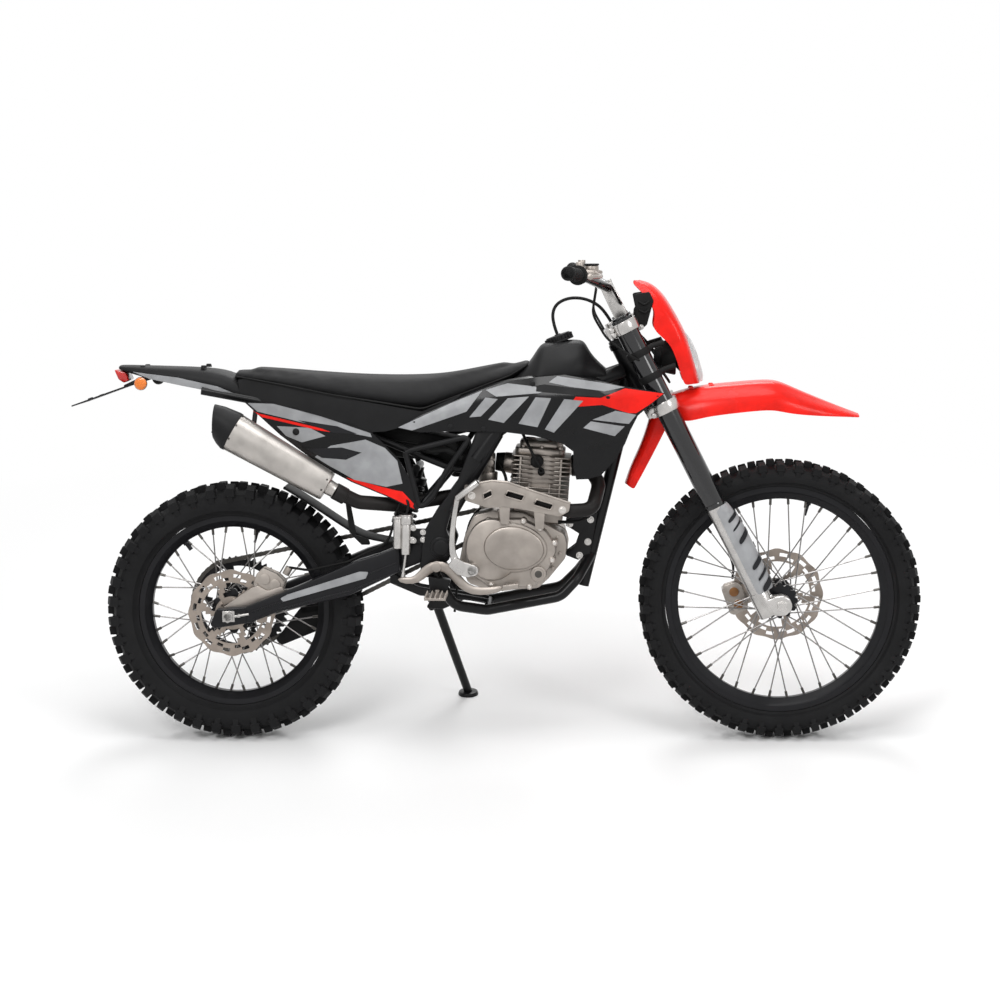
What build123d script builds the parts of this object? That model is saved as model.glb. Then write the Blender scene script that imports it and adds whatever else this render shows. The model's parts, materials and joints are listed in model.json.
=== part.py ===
from build123d import *
from collections import namedtuple
from math import asin, atan2, cos, degrees, hypot, pi, radians, sin, tan
import os

os.makedirs("parts", exist_ok=True)

# Motocross bike for the road, parked on its side stand. Sizes in millimetres, angles in degrees.
# The bike is drawn upright: X forward from the rear axle, Y to the rider's left, Z up.
# Each finished piece is then leaned onto the stand and set down by PARKED.

# Layout of the whole bike
WHEELBASE = 1370
LEAN = 9
RAKE = 26.5
CLAMP_OFFSET = 26
AXLE_LEAD = 38
FIT = 0.3
TUBE_SIDES = 8
ROD_SIDES = 12
RUNNING_GAP = 0.6

# Wheels, seen from the axle outwards
Wheel = namedtuple("Wheel", "name axle_x tip_radius width lug_height crown shoulder lugs"
                   " rim_radius rim_depth rim_width hub_radius flange_radius flange_y hub_end"
                   " axle_radius disc_radius disc_y spoke_lead")
FRONT = Wheel(name="front", axle_x=WHEELBASE, tip_radius=351, width=86, lug_height=13, crown=15,
              shoulder=36, lugs=26, rim_radius=284, rim_depth=32, rim_width=46, hub_radius=24,
              flange_radius=40, flange_y=33, hub_end=76.4, axle_radius=10, disc_radius=117,
              disc_y=62, spoke_lead=52)
REAR = Wheel(name="rear", axle_x=0, tip_radius=325, width=100, lug_height=16, crown=20,
             shoulder=43, lugs=24, rim_radius=241, rim_depth=30, rim_width=56, hub_radius=32,
             flange_radius=52, flange_y=30, hub_end=79, axle_radius=11, disc_radius=110,
             disc_y=-62, spoke_lead=52)
SPOKES = 36
SPOKE_RADIUS = 1.9
SPOKE_STAGGER = 9
SPOKE_END_GAP = 0.9
FLANGE_THICKNESS = 13
TYRE_SEAT_GAP = 0.3
LUG_SHARE = 0.56
DISC_THICKNESS = 4
DISC_BAND = 30
DISC_BOLT_RADIUS = 34


def axle_height(wheel):
    """Height at which the leaned tyre's lowest lug edge just meets the ground."""
    reach = wheel.tip_radius * cos(radians(LEAN)) + wheel.crown * sin(radians(LEAN))
    return reach / cos(radians(LEAN))


FRONT_AXLE = Vector(FRONT.axle_x, 0, axle_height(FRONT))
REAR_AXLE = Vector(REAR.axle_x, 0, axle_height(REAR))

# Steering head: the fork plane has its origin on the steering axis, level with the front axle
STEM_UP = Vector(-sin(radians(RAKE)), 0, cos(radians(RAKE)))
STEM_FORWARD = Vector(cos(radians(RAKE)), 0, sin(radians(RAKE)))
STEM_FOOT = FRONT_AXLE - STEM_FORWARD * (CLAMP_OFFSET + AXLE_LEAD)
FORK = Plane(origin=STEM_FOOT, x_dir=STEM_FORWARD, z_dir=STEM_UP)
LEG_Y = 100
OUTER_RADIUS = 27
STANCHION_RADIUS = 23.5
LOWER_CLAMP_AT = 552
CLAMP_HEIGHT = 29
UPPER_CLAMP_AT = 770
OUTER_FROM = 290
OUTER_TO = 808
HEAD_FROM = 588
HEAD_TO = 764
HEAD_RADIUS = 30
FOOT_TOP = 52
GUARD_TOP = 250
GUARD_DEPTH = 46
GUARD_HALF_WIDTH = 31
CALIPER_OUTER_Y = 84
CALIPER_LUG = [(-84, -24), (-40, -16), (-46, 40), (-96, 34)]

# Chain drive, left side
CHAIN_Y = 64
CHAIN_PITCH = 15.875
CARRIER_RADIUS = 50
REAR_TEETH = 48
FRONT_TEETH = 13
SPROCKET_THICKNESS = 6
PLATE_GAP = SPROCKET_THICKNESS / 2 + RUNNING_GAP
PLATE_THICKNESS = 3
PLATE_HEIGHT = 13
DRIVE_SHAFT = Vector(612, 0, 537)

# Swingarm
PIVOT = Vector(532, 0, 500)
ARM_INNER_Y = 88
ARM_THICKNESS = 28
AXLE_END_Y = 128

# Side stand, left side
STAND_PIVOT = Vector(495, 138, 330)
STAND_FORWARD = 75
STAND_OUT = 105
STAND_BACK = Vector(-0.96, 0.06, 0.22)
STAND_RADIUS = 12

# Frame
TUBE_RADIUS = 13
DOWNTUBE_RADIUS = 14
SPAR_HEIGHT = 45
SPAR_THICKNESS = 24
RAIL_RADIUS = 11
RAIL_Y = 70
RAIL_START = Vector(642.5, 0, 787.5)
RAIL_END = Vector(-60, 0, 888)

# Handlebar
GRIP_END_Y = 400
GRIP_INNER_Y = 285
BAR_RADIUS = 11
GRIP_RADIUS = 16
MIRROR_HOLE_RADIUS = 5

PLATE_TIP_X = -384
PLATE_HOLE_Y = 60
PLATE_HOLE_RADIUS = 3


def leaned(point):
    """Where a point of the upright bike lies once it leans on its stand."""
    across = point.Y * cos(radians(LEAN)) + point.Z * sin(radians(LEAN))
    height = -point.Y * sin(radians(LEAN)) + point.Z * cos(radians(LEAN))
    return Vector(point.X, across, height)


def upright(point):
    """The upright bike's point for a place on the ground beside the leaned bike."""
    across = point.Y * cos(radians(LEAN)) - point.Z * sin(radians(LEAN))
    height = point.Y * sin(radians(LEAN)) + point.Z * cos(radians(LEAN))
    return Vector(point.X, across, height)


GRIP_HEIGHT = 1173
ORIGIN_X = (WHEELBASE + FRONT.tip_radius + PLATE_TIP_X) / 2
ORIGIN_Y = leaned(Vector(0, 0, GRIP_HEIGHT)).Y
PARKED = Location((-ORIGIN_X, -ORIGIN_Y, 0)) * Location((0, 0, 0), (-LEAN, 0, 0))


def keep(piece, label):
    """Name a finished piece, park it and write it."""
    piece.part.label = label
    export_step(piece.part.moved(PARKED), f"parts/{label}.step")


def side_plane(centre, y=0):
    """Plane seen from the right side: local x forward, local y up, normal to the right."""
    return Plane(origin=(centre.X, y, centre.Z), x_dir=(1, 0, 0), z_dir=(0, -1, 0))


def cross_plane(centre, turn=0):
    """Plane across the bike, turned about the axle: local x to the left, local y outwards."""
    way = radians(turn)
    return Plane(origin=(centre.X, 0, centre.Z), x_dir=(0, 1, 0), z_dir=(cos(way), 0, sin(way)))


def tube(points, radius, bend=40, mode=Mode.ADD):
    """Bent bar, drawn with flats that keep its facets few, added to the part being built."""
    with BuildLine() as path:
        if len(points) == 2:
            Line(*points)
        else:
            FilletPolyline(*points, radius=bend)
    with BuildSketch(Plane(origin=path.line @ 0, z_dir=path.line % 0)) as section:
        RegularPolygon(radius, TUBE_SIDES)
    sweep(sections=section.sketch, path=path.line, mode=mode)


def rod(start, end, radius, mode=Mode.ADD):
    """Straight bar with flats between two points, or a round bore where it is taken away."""
    run = Vector(*end) - Vector(*start)
    with BuildSketch(Plane(origin=start, z_dir=run)) as section:
        if mode is Mode.SUBTRACT:
            Circle(radius)
        else:
            RegularPolygon(radius, ROD_SIDES)
    extrude(section.sketch, amount=run.length, mode=mode)


def side_slab(points, inner, outer, mode=Mode.ADD):
    """Flat plate with an outline seen from the side, between two distances from the middle."""
    with BuildSketch(Plane.XZ.offset(-outer)) as outline:
        with BuildLine():
            Polyline(*points, close=True)
        make_face()
    extrude(outline.sketch, amount=outer - inner, mode=mode)


# Wheels
def axle_of(wheel):
    return FRONT_AXLE if wheel is FRONT else REAR_AXLE


def wheel_axis(wheel):
    return Axis((wheel.axle_x, 0, axle_of(wheel).Z), (0, 1, 0))


def lug_row(wheel, inner, outer, drop, shift):
    """One row of tread lugs, each a flat-sided block; shift counts in lug spacings from the lowest lug."""
    axle = axle_of(wheel)
    base = wheel.tip_radius - wheel.lug_height - drop
    length = 2 * pi * wheel.tip_radius / wheel.lugs * LUG_SHARE
    with BuildPart() as row:
        for index in range(wheel.lugs):
            turn = 360 / wheel.lugs * (index + shift) + 180
            with BuildSketch(cross_plane(axle, turn)):
                with BuildLine():
                    Polyline((inner, base - 6), (inner, wheel.tip_radius - drop / 4),
                             (outer, wheel.tip_radius - drop), (outer - drop / 2, base - 8), close=True)
                make_face()
        extrude(amount=length / 2, both=True)
    return row.part


def make_tyre(wheel):
    """Carcass with a centre row and two shoulder rows of lugs."""
    axle = axle_of(wheel)
    centre = lug_row(wheel, -wheel.crown, wheel.crown, 0, 0)
    shoulder = lug_row(wheel, wheel.crown + 5, wheel.width / 2, wheel.lug_height, 0.5)
    bore = wheel.rim_radius + TYRE_SEAT_GAP
    tread = wheel.tip_radius - wheel.lug_height
    bead = wheel.rim_width / 2 + 4
    belly = wheel.width / 2 - 1
    deep = tread - bore
    wall = [(bead, bore + 1), (belly, bore + 0.35 * deep),
            (wheel.shoulder, tread - 0.8 * wheel.lug_height), (wheel.crown + 2, tread)]
    with BuildPart() as tyre:
        for y, radius in wall + [(-y, radius) for y, radius in reversed(wall)]:
            with BuildSketch(side_plane(axle, y)):
                RegularPolygon(radius, wheel.lugs, major_radius=False, rotation=180 / wheel.lugs - 90)
        loft(ruled=True)
        add(centre)
        add(shoulder)
        add(shoulder.mirror(Plane.XZ))
        with BuildSketch(side_plane(axle, bead + 1)):
            Circle(bore)
        extrude(amount=2 * bead + 2, mode=Mode.SUBTRACT)
    return tyre


def make_rim(wheel):
    """Box-section rim with a flat well for the spoke nipples."""
    axle = axle_of(wheel)
    half = wheel.rim_width / 2
    well = wheel.rim_radius - wheel.rim_depth
    with BuildPart() as rim:
        with BuildSketch(cross_plane(axle)):
            with BuildLine():
                Polyline((-half, wheel.rim_radius), (half, wheel.rim_radius), (half, wheel.rim_radius - 14),
                         (half / 2, well), (-half / 2, well), (-half, wheel.rim_radius - 14), close=True)
            make_face()
        revolve(axis=wheel_axis(wheel))
    return rim


def make_hub(wheel):
    """Hub barrel with two flanges, the disc seat and the laced spokes."""
    axle = axle_of(wheel)
    side = 1 if wheel.disc_y > 0 else -1
    disc_inner = abs(wheel.disc_y) - DISC_THICKNESS / 2 - FIT
    well = wheel.rim_radius - wheel.rim_depth
    bore = wheel.axle_radius + RUNNING_GAP
    with BuildPart() as hub:
        with BuildSketch(cross_plane(axle)):
            with BuildLine():
                half = [(wheel.hub_end, bore), (wheel.hub_end, bore + 6), (wheel.flange_y, wheel.hub_radius)]
                Polyline(*half, *[(-y, z) for y, z in reversed(half)], close=True)
            make_face()
        revolve(axis=wheel_axis(wheel))
        if wheel is REAR:
            with BuildSketch(side_plane(axle, CHAIN_Y - SPROCKET_THICKNESS / 2 - FIT)):
                Circle(CARRIER_RADIUS)
                Circle(bore + 3, mode=Mode.SUBTRACT)
            extrude(amount=CHAIN_Y - SPROCKET_THICKNESS / 2 - FIT - wheel.flange_y)
        for middle in (-wheel.flange_y, wheel.flange_y):
            with BuildSketch(side_plane(axle, middle + FLANGE_THICKNESS / 2)):
                RegularPolygon(wheel.flange_radius, SPOKES // 2, major_radius=False)
                Circle(bore + 3, mode=Mode.SUBTRACT)
        extrude(amount=FLANGE_THICKNESS)
        with BuildSketch(side_plane(axle, side * disc_inner)):
            Circle(DISC_BOLT_RADIUS + 7)
            Circle(bore + 3, mode=Mode.SUBTRACT)
        extrude(amount=side * (disc_inner - wheel.flange_y))
        count = SPOKES // 2
        for flange in (-1, 1):
            for kind, way in ((0, -1), (1, 1)):
                out = flange * wheel.flange_y + way * SPOKE_STAGGER / 2
                for index in range(kind, count, 2):
                    hole = radians(360 / count * (index + flange / 4))
                    seat = hole + radians(way * wheel.spoke_lead)
                    start = axle + Vector(cos(hole), 0, sin(hole)) * (wheel.flange_radius - 4) + Vector(0, out, 0)
                    reach = Vector(cos(seat), 0, sin(seat)) * (well - SPOKE_END_GAP)
                    run = axle + reach + Vector(0, flange * 4, 0) - start
                    with BuildSketch(Plane(origin=start, z_dir=run)):
                        RegularPolygon(SPOKE_RADIUS, 4)
                extrude(amount=run.length)
    return hub


def make_disc(wheel):
    """Wave-edged brake disc on six arms."""
    axle = axle_of(wheel)
    side = 1 if wheel.disc_y > 0 else -1
    waves = 12
    with BuildPart() as disc:
        with BuildSketch(side_plane(axle, wheel.disc_y + DISC_THICKNESS / 2)):
            Circle(wheel.disc_radius)
            with PolarLocations(wheel.disc_radius + 20, waves):
                Circle(24, mode=Mode.SUBTRACT)
            Circle(wheel.disc_radius - DISC_BAND, mode=Mode.SUBTRACT)
            with PolarLocations((wheel.disc_radius - DISC_BAND + DISC_BOLT_RADIUS) / 2, 6):
                Rectangle(wheel.disc_radius - DISC_BAND - DISC_BOLT_RADIUS + 8, 14)
            Circle(DISC_BOLT_RADIUS + 7)
            Circle(DISC_BOLT_RADIUS - 8, mode=Mode.SUBTRACT)
        extrude(amount=DISC_THICKNESS)
    return disc


for wheel in (FRONT, REAR):
    keep(make_tyre(wheel), wheel.name + "_tyre")
    keep(make_rim(wheel), wheel.name + "_rim")
    keep(make_hub(wheel), wheel.name + "_hub")
    keep(make_disc(wheel), wheel.name + "_disc")

# Rear sprocket: flat-flanked teeth
pitch_radius = CHAIN_PITCH / 2 / sin(pi / REAR_TEETH)
drive_radius = CHAIN_PITCH / 2 / sin(pi / FRONT_TEETH)
with BuildPart() as rear_sprocket:
    with BuildSketch(side_plane(REAR_AXLE, CHAIN_Y + SPROCKET_THICKNESS / 2)):
        with BuildLine():
            tooth = []
            for index in range(REAR_TEETH):
                for share, radius in ((-0.3, -5), (-0.1, 5), (0.1, 5), (0.3, -5)):
                    turn = 2 * pi * (index + share) / REAR_TEETH
                    tooth.append(((pitch_radius + radius) * cos(turn), (pitch_radius + radius) * sin(turn)))
            Polyline(*tooth, close=True)
        make_face()
        with PolarLocations(82, 6):
            RegularPolygon(24, 6, mode=Mode.SUBTRACT)
        Circle(REAR.hub_radius, mode=Mode.SUBTRACT)
    extrude(amount=SPROCKET_THICKNESS)
keep(rear_sprocket, "rear_sprocket")

# Chain: two plate loops that straddle the teeth
spread = DRIVE_SHAFT - REAR_AXLE
slope = atan2(spread.Z, spread.X)
wrap = asin((pitch_radius - drive_radius) / hypot(spread.X, spread.Z))


def rim_point(centre, radius, turn):
    return (centre.X + radius * cos(turn), centre.Z + radius * sin(turn))


def loop_line(grow):
    """Closed belt line round both sprockets, grown outwards from the pitch line."""
    large = pitch_radius + grow
    small = drive_radius + grow
    top = slope + pi / 2 + wrap
    low = slope - pi / 2 - wrap
    Line(rim_point(REAR_AXLE, large, top), rim_point(DRIVE_SHAFT, small, top))
    ThreePointArc(rim_point(DRIVE_SHAFT, small, top), rim_point(DRIVE_SHAFT, small, slope),
                  rim_point(DRIVE_SHAFT, small, low))
    Line(rim_point(DRIVE_SHAFT, small, low), rim_point(REAR_AXLE, large, low))
    ThreePointArc(rim_point(REAR_AXLE, large, low), rim_point(REAR_AXLE, large, slope + pi),
                  rim_point(REAR_AXLE, large, top))


with BuildPart() as chain:
    for near in (CHAIN_Y - PLATE_GAP - PLATE_THICKNESS, CHAIN_Y + PLATE_GAP):
        with BuildSketch(Plane.XZ.offset(-near - PLATE_THICKNESS)):
            with BuildLine():
                loop_line(PLATE_HEIGHT / 2)
            make_face()
            with BuildLine():
                loop_line(-PLATE_HEIGHT / 2)
            make_face(mode=Mode.SUBTRACT)
        extrude(amount=PLATE_THICKNESS)
keep(chain, "chain")

# Fork: clamps and stem, outer tubes, stanchions with their axle feet
with BuildPart() as fork_clamps:
    for base, height in ((LOWER_CLAMP_AT, CLAMP_HEIGHT), (UPPER_CLAMP_AT, CLAMP_HEIGHT)):
        with BuildSketch(FORK.offset(base)):
            with Locations((CLAMP_OFFSET, LEG_Y), (CLAMP_OFFSET, -LEG_Y)):
                Circle(OUTER_RADIUS + 7)
            Circle(26)
            make_hull()
            with Locations((CLAMP_OFFSET + 44, 0)):
                Rectangle(50, 100, mode=Mode.SUBTRACT)
            with Locations((CLAMP_OFFSET, LEG_Y), (CLAMP_OFFSET, -LEG_Y)):
                Circle(OUTER_RADIUS + FIT, mode=Mode.SUBTRACT)
        extrude(amount=height)
    with BuildSketch(FORK.offset(LOWER_CLAMP_AT)):
        Circle(HEAD_RADIUS - 12)
    extrude(amount=UPPER_CLAMP_AT - LOWER_CLAMP_AT + CLAMP_HEIGHT + 8)
    with BuildSketch(FORK.offset(LOWER_CLAMP_AT + CLAMP_HEIGHT), FORK.offset(HEAD_TO + RUNNING_GAP)):
        Circle(HEAD_RADIUS - 4)
    extrude(amount=UPPER_CLAMP_AT - HEAD_TO - RUNNING_GAP)
keep(fork_clamps, "fork_clamps")

with BuildPart() as fork_tubes:
    with BuildSketch(FORK.offset(OUTER_FROM)):
        with Locations((CLAMP_OFFSET, LEG_Y), (CLAMP_OFFSET, -LEG_Y)):
            Circle(OUTER_RADIUS)
            Circle(STANCHION_RADIUS + FIT, mode=Mode.SUBTRACT)
    extrude(amount=OUTER_TO - OUTER_FROM)
    with BuildSketch(FORK.offset(OUTER_TO)):
        with Locations((CLAMP_OFFSET, LEG_Y), (CLAMP_OFFSET, -LEG_Y)):
            Circle(OUTER_RADIUS)
    extrude(amount=5)
keep(fork_tubes, "fork_tubes")

with BuildPart() as fork_lowers:
    with BuildSketch(FORK.offset(FOOT_TOP)):
        with Locations((CLAMP_OFFSET, LEG_Y), (CLAMP_OFFSET, -LEG_Y)):
            Circle(STANCHION_RADIUS)
    extrude(amount=OUTER_TO - 60 - FOOT_TOP)
    for side in (-1, 1):
        with BuildSketch(FORK.offset(-12)):
            with Locations((CLAMP_OFFSET, side * LEG_Y)):
                Circle(STANCHION_RADIUS + 2)
        extrude(amount=FOOT_TOP + 12)
        with BuildSketch(side_plane(FRONT_AXLE, side * LEG_Y + 23)):
            Circle(23)
            with Locations((-AXLE_LEAD / 2, 0)):
                Rectangle(AXLE_LEAD, 40)
        extrude(amount=46)
    side_slab([(FRONT_AXLE.X + x, FRONT_AXLE.Z + z) for x, z in CALIPER_LUG], CALIPER_OUTER_Y + FIT, LEG_Y)
    with BuildSketch(FORK.offset(FOOT_TOP)):
        with Locations((CLAMP_OFFSET + 14, LEG_Y)):
            Rectangle(GUARD_DEPTH, 2 * GUARD_HALF_WIDTH)
        with Locations((CLAMP_OFFSET, LEG_Y)):
            Rectangle(GUARD_DEPTH, 2 * GUARD_HALF_WIDTH - 6, mode=Mode.SUBTRACT)
    extrude(amount=GUARD_TOP - FOOT_TOP)
    with BuildSketch(side_plane(FRONT_AXLE, 200)):
        Circle(FRONT.axle_radius + FIT)
    extrude(amount=400, mode=Mode.SUBTRACT)
keep(fork_lowers, "fork_lowers")

with BuildPart() as front_axle:
    with BuildSketch(side_plane(FRONT_AXLE, LEG_Y + 32)):
        Circle(FRONT.axle_radius)
    extrude(amount=2 * LEG_Y + 64)
keep(front_axle, "front_axle")

# Front brake caliper on the left leg
with BuildPart() as front_caliper:
    with BuildSketch(side_plane(FRONT_AXLE, CALIPER_OUTER_Y)):
        with Locations(Location((-105, -8), 20)):
            Rectangle(52, 78)
    extrude(amount=38)
    with BuildSketch(side_plane(FRONT_AXLE, FRONT.disc_y + 5)):
        Circle(FRONT.disc_radius + 5)
    extrude(amount=10, mode=Mode.SUBTRACT)
keep(front_caliper, "front_caliper")

# Handlebar, grips and hand controls
bar_run = Vector(884, 230, 1164) - Vector(853, GRIP_END_Y, GRIP_HEIGHT)


def bar_point(side, along):
    """Point on the straight end of the bar, a distance in from its end."""
    end = Vector(853, GRIP_END_Y, GRIP_HEIGHT) + bar_run.normalized() * along
    return Vector(end.X, side * end.Y, end.Z)


RISER_FORWARD = 30
RISER_HEIGHT = 101
with BuildPart() as handlebar:
    bar_points = [bar_point(1, 4), (884, 230, 1164), (947, 110, 1132), (947, -110, 1132),
                  (884, -230, 1164), bar_point(-1, 4)]
    for side in (-1, 1):
        with BuildSketch(FORK.offset(UPPER_CLAMP_AT + CLAMP_HEIGHT + FIT)):
            with Locations((RISER_FORWARD, side * 42)):
                Rectangle(34, 28)
        extrude(amount=RISER_HEIGHT)
    tube(bar_points, BAR_RADIUS + FIT, 60, mode=Mode.SUBTRACT)
    tube(bar_points, BAR_RADIUS, 60)
keep(handlebar, "handlebar")

with BuildPart() as grips:
    for side in (-1, 1):
        start = bar_point(side, -4)
        rod(start, bar_point(side, 118), GRIP_RADIUS)
        rod(bar_point(side, 118), bar_point(side, 123), 26)
    for side in (-1, 1):
        rod(bar_point(side, 3), bar_point(side, 130), BAR_RADIUS + FIT, mode=Mode.SUBTRACT)
keep(grips, "grips")

with BuildPart() as hand_controls:
    for side in (-1, 1):
        rod(bar_point(side, 126), bar_point(side, 160), 19)
        reach = bar_point(side, 60)
        root = bar_point(side, 143)
        tube([root + Vector(16, 0, 0), root + Vector(48, 4 * side, -2),
              reach + Vector(62, 0, -6), bar_point(side, -2) + Vector(50, 0, -8)], 6, 14)
        rod(root + Vector(0, 0, 12), root + Vector(0, 0, 32), 9)
    for side in (-1, 1):
        root = bar_point(side, 143)
        rod(bar_point(side, 120), bar_point(side, 170), BAR_RADIUS + FIT, mode=Mode.SUBTRACT)
        rod(root + Vector(0, 0, 18), root + Vector(0, 0, 32), MIRROR_HOLE_RADIUS, mode=Mode.SUBTRACT)
keep(hand_controls, "hand_controls")

# Headlamp mask with its lamp window and the ears that reach the fork tubes
MASK_SIDE = [(1005, 1145), (1030, 1142), (1057, 1117), (1106, 1062), (1133, 1013), (1150, 942), (1168, 900),
             (1129, 898), (1129, 922), (1105, 988), (1078, 1031), (1040, 1080), (1005, 1110)]
MASK_FRONT = [(30, 1150), (66, 1108), (78, 1035), (72, 960), (56, 890)]
MASK_WALL = 5
EAR_LEVELS = (642, 706)
EAR_REACH = 60
WINDOW_HALF = 46
with BuildPart() as headlamp_mask:
    side_slab(MASK_SIDE, -80, 80)
    side_slab([(x - 2 * MASK_WALL, z - MASK_WALL) for x, z in MASK_SIDE], MASK_WALL - 78, 78 - MASK_WALL,
              mode=Mode.SUBTRACT)
    with BuildSketch(Plane.YZ.offset(900)):
        with BuildLine():
            Polyline(*MASK_FRONT, *[(-y, z) for y, z in reversed(MASK_FRONT)], close=True)
        make_face()
    extrude(amount=400, mode=Mode.INTERSECT)
    with BuildSketch(Plane.YZ.offset(1090)):
        with Locations((0, 955)):
            Rectangle(2 * WINDOW_HALF + 2 * FIT, 96)
    extrude(amount=120, mode=Mode.SUBTRACT)
    for level in EAR_LEVELS:
        with BuildSketch(FORK.offset(level)):
            for side in (-1, 1):
                with Locations((CLAMP_OFFSET + OUTER_RADIUS + FIT + EAR_REACH / 2, side * 82)):
                    Rectangle(EAR_REACH, 28)
        extrude(amount=10)
keep(headlamp_mask, "headlamp_mask")

with BuildPart() as headlamp_lens:
    side_slab([(1104, 1002), (1136, 1002), (1158, 958), (1172, 908), (1104, 908)], -WINDOW_HALF, WINDOW_HALF)
keep(headlamp_lens, "headlamp_lens")

# Front fender: an arched blade on top and a hollow flap behind the fork
Arch = namedtuple("Arch", "x crown edge half")
BLADE = [Arch(1098, 872, 838, 62), Arch(1180, 886, 846, 80), Arch(1345, 894, 852, 88), Arch(1400, 880, 848, 84),
         Arch(1480, 847, 829, 66), Arch(1566, 812, 806, 34)]
BLADE_WALL = 4
FLAP = [(1068, 806), (1100, 806), (1062, 738), (1034, 683), (1010, 636), (992, 648), (1034, 755)]
FLAP_HALF = 45


def arch_section(arch, inset):
    """Section of the blade with sloping shoulders, drawn smaller by an inset."""
    half = arch.half - inset
    crown = arch.crown - inset
    edge = arch.edge - (1 if inset else 0)
    rise = arch.crown - arch.edge
    right = [(half, edge), (half - 3, edge + 0.55 * rise - inset / 2), (0.62 * half, crown - 0.12 * rise)]
    with BuildSketch(Plane.YZ.offset(arch.x)) as section:
        with BuildLine():
            Polyline(*right, *[(-y, z) for y, z in reversed(right)], close=True)
        make_face()
    return section.sketch


with BuildPart() as front_fender:
    loft([arch_section(arch, 0) for arch in BLADE], ruled=True)
    loft([arch_section(arch, BLADE_WALL) for arch in BLADE[:-1]], ruled=True, mode=Mode.SUBTRACT)
    side_slab(FLAP, -FLAP_HALF, FLAP_HALF)
    side_slab([(x + BLADE_WALL, z - BLADE_WALL) for x, z in FLAP], BLADE_WALL - FLAP_HALF,
              FLAP_HALF - BLADE_WALL, mode=Mode.SUBTRACT)
    side_slab([(1062, 800), (1098, 872), (1180, 872), (1150, 850), (1100, 806)], -FLAP_HALF, FLAP_HALF)
    with BuildSketch(side_plane(FRONT_AXLE, 200)):
        Circle(FRONT.tip_radius + 60)
    extrude(amount=400, mode=Mode.SUBTRACT)
    with BuildSketch(FORK.offset(400)):
        with Locations((CLAMP_OFFSET, LEG_Y), (CLAMP_OFFSET, -LEG_Y)):
            Circle(OUTER_RADIUS + 2)
    extrude(amount=300, mode=Mode.SUBTRACT)
    with BuildSketch(FORK.offset(LOWER_CLAMP_AT - FIT)):
        with Locations((CLAMP_OFFSET / 2, 0)):
            Rectangle(120, 300)
    extrude(amount=60, mode=Mode.SUBTRACT)
keep(front_fender, "front_fender")

# Frame: steering head, twin spars, pivot plates, downtube, cradle and cross tubes
SPAR_LINE = [(975, 24, 930), (820, 68, 868), (672, 97, 786)]
SPAR_RADIUS = 19
PLATE_INNER_Y = 92
PLATE_OUTER_Y = 116
pivot_plate = [(627, 800), (690, 800), (679, 770), (594, 647), (559, 592), (545, 543), (562, 500), (552, 470),
               (500, 420), (480, 440), (484, 500), (492, 543), (505, 566), (523, 594), (572, 660)]
PEG_BRACKET = [(506, 374), (540, 374), (556, 420), (500, 430)]
PEG_INNER_Y = 130
MOUNT_PLATE = [(914, 570), (896, 470), (868, 456), (842, 468), (842, 552), (884, 572)]
LUG_HALF = 14
CROSS_TUBE = Vector(642, 0, 338)
CROSS_TUBE_RADIUS = 10
CYLINDER_Y = -128
CYLINDER_RADIUS = 13
CYLINDER_BRACKET = [(432, 510), (500, 510), (500, 546), (432, 546)]
stand_plate = [(474, 312), (520, 310), (580, 336), (560, 370), (500, 352)]
stand_foot = upright(Vector(STAND_PIVOT.X + STAND_FORWARD, leaned(STAND_PIVOT).Y + STAND_OUT, 0))
stand_down = (stand_foot - STAND_PIVOT).normalized()
stand_axis = stand_down.cross(STAND_BACK.normalized()).normalized()
with BuildPart() as frame:
    with BuildSketch(FORK.offset(HEAD_FROM)):
        Circle(HEAD_RADIUS)
    extrude(amount=HEAD_TO - HEAD_FROM)
    for side in (-1, 1):
        tube([(x, side * y, z) for x, y, z in SPAR_LINE], SPAR_RADIUS, 60)
        tube([(900, side * 4, 466), (866, side * 66, 414), (825, side * 80, 372), (642, side * 80, 338),
              (560, side * 92, 352), (512, side * 104, 440)], TUBE_RADIUS, 16)
        side_slab(pivot_plate, *sorted((side * PLATE_INNER_Y, side * PLATE_OUTER_Y)))
    tube([(987, 0, 925), (986, 0, 812), (880, 0, 388)], DOWNTUBE_RADIUS, 60)
    side_slab([(1020, 842), (1006, 900), (986, 925), (984, 818)], -4, 4)
    rod((PIVOT.X, -PLATE_OUTER_Y - 8, PIVOT.Z), (PIVOT.X, PLATE_OUTER_Y + 8, PIVOT.Z), 9)
    rod((CROSS_TUBE.X, -80, CROSS_TUBE.Z), (CROSS_TUBE.X, 80, CROSS_TUBE.Z), CROSS_TUBE_RADIUS)
    rod((655, -100, 786), (655, 100, 786), 12)
    side_slab(stand_plate, 96, PLATE_OUTER_Y)
    for side in (-1, 1):
        side_slab(PEG_BRACKET, *sorted((side * 100, side * (PEG_INNER_Y - FIT))))
        side_slab(MOUNT_PLATE, *sorted((side * (LUG_HALF + FIT), side * (LUG_HALF + 6))))
    side_slab(CYLINDER_BRACKET, CYLINDER_Y + CYLINDER_RADIUS + FIT, -PLATE_INNER_Y - 8)
    rod(STAND_PIVOT - stand_axis * 40, STAND_PIVOT + stand_axis * 12, 7)
    with BuildSketch(FORK.offset(HEAD_FROM - 4)):
        Circle(HEAD_RADIUS - 10)
    extrude(amount=HEAD_TO - HEAD_FROM + 8, mode=Mode.SUBTRACT)
keep(frame, "frame")

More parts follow.
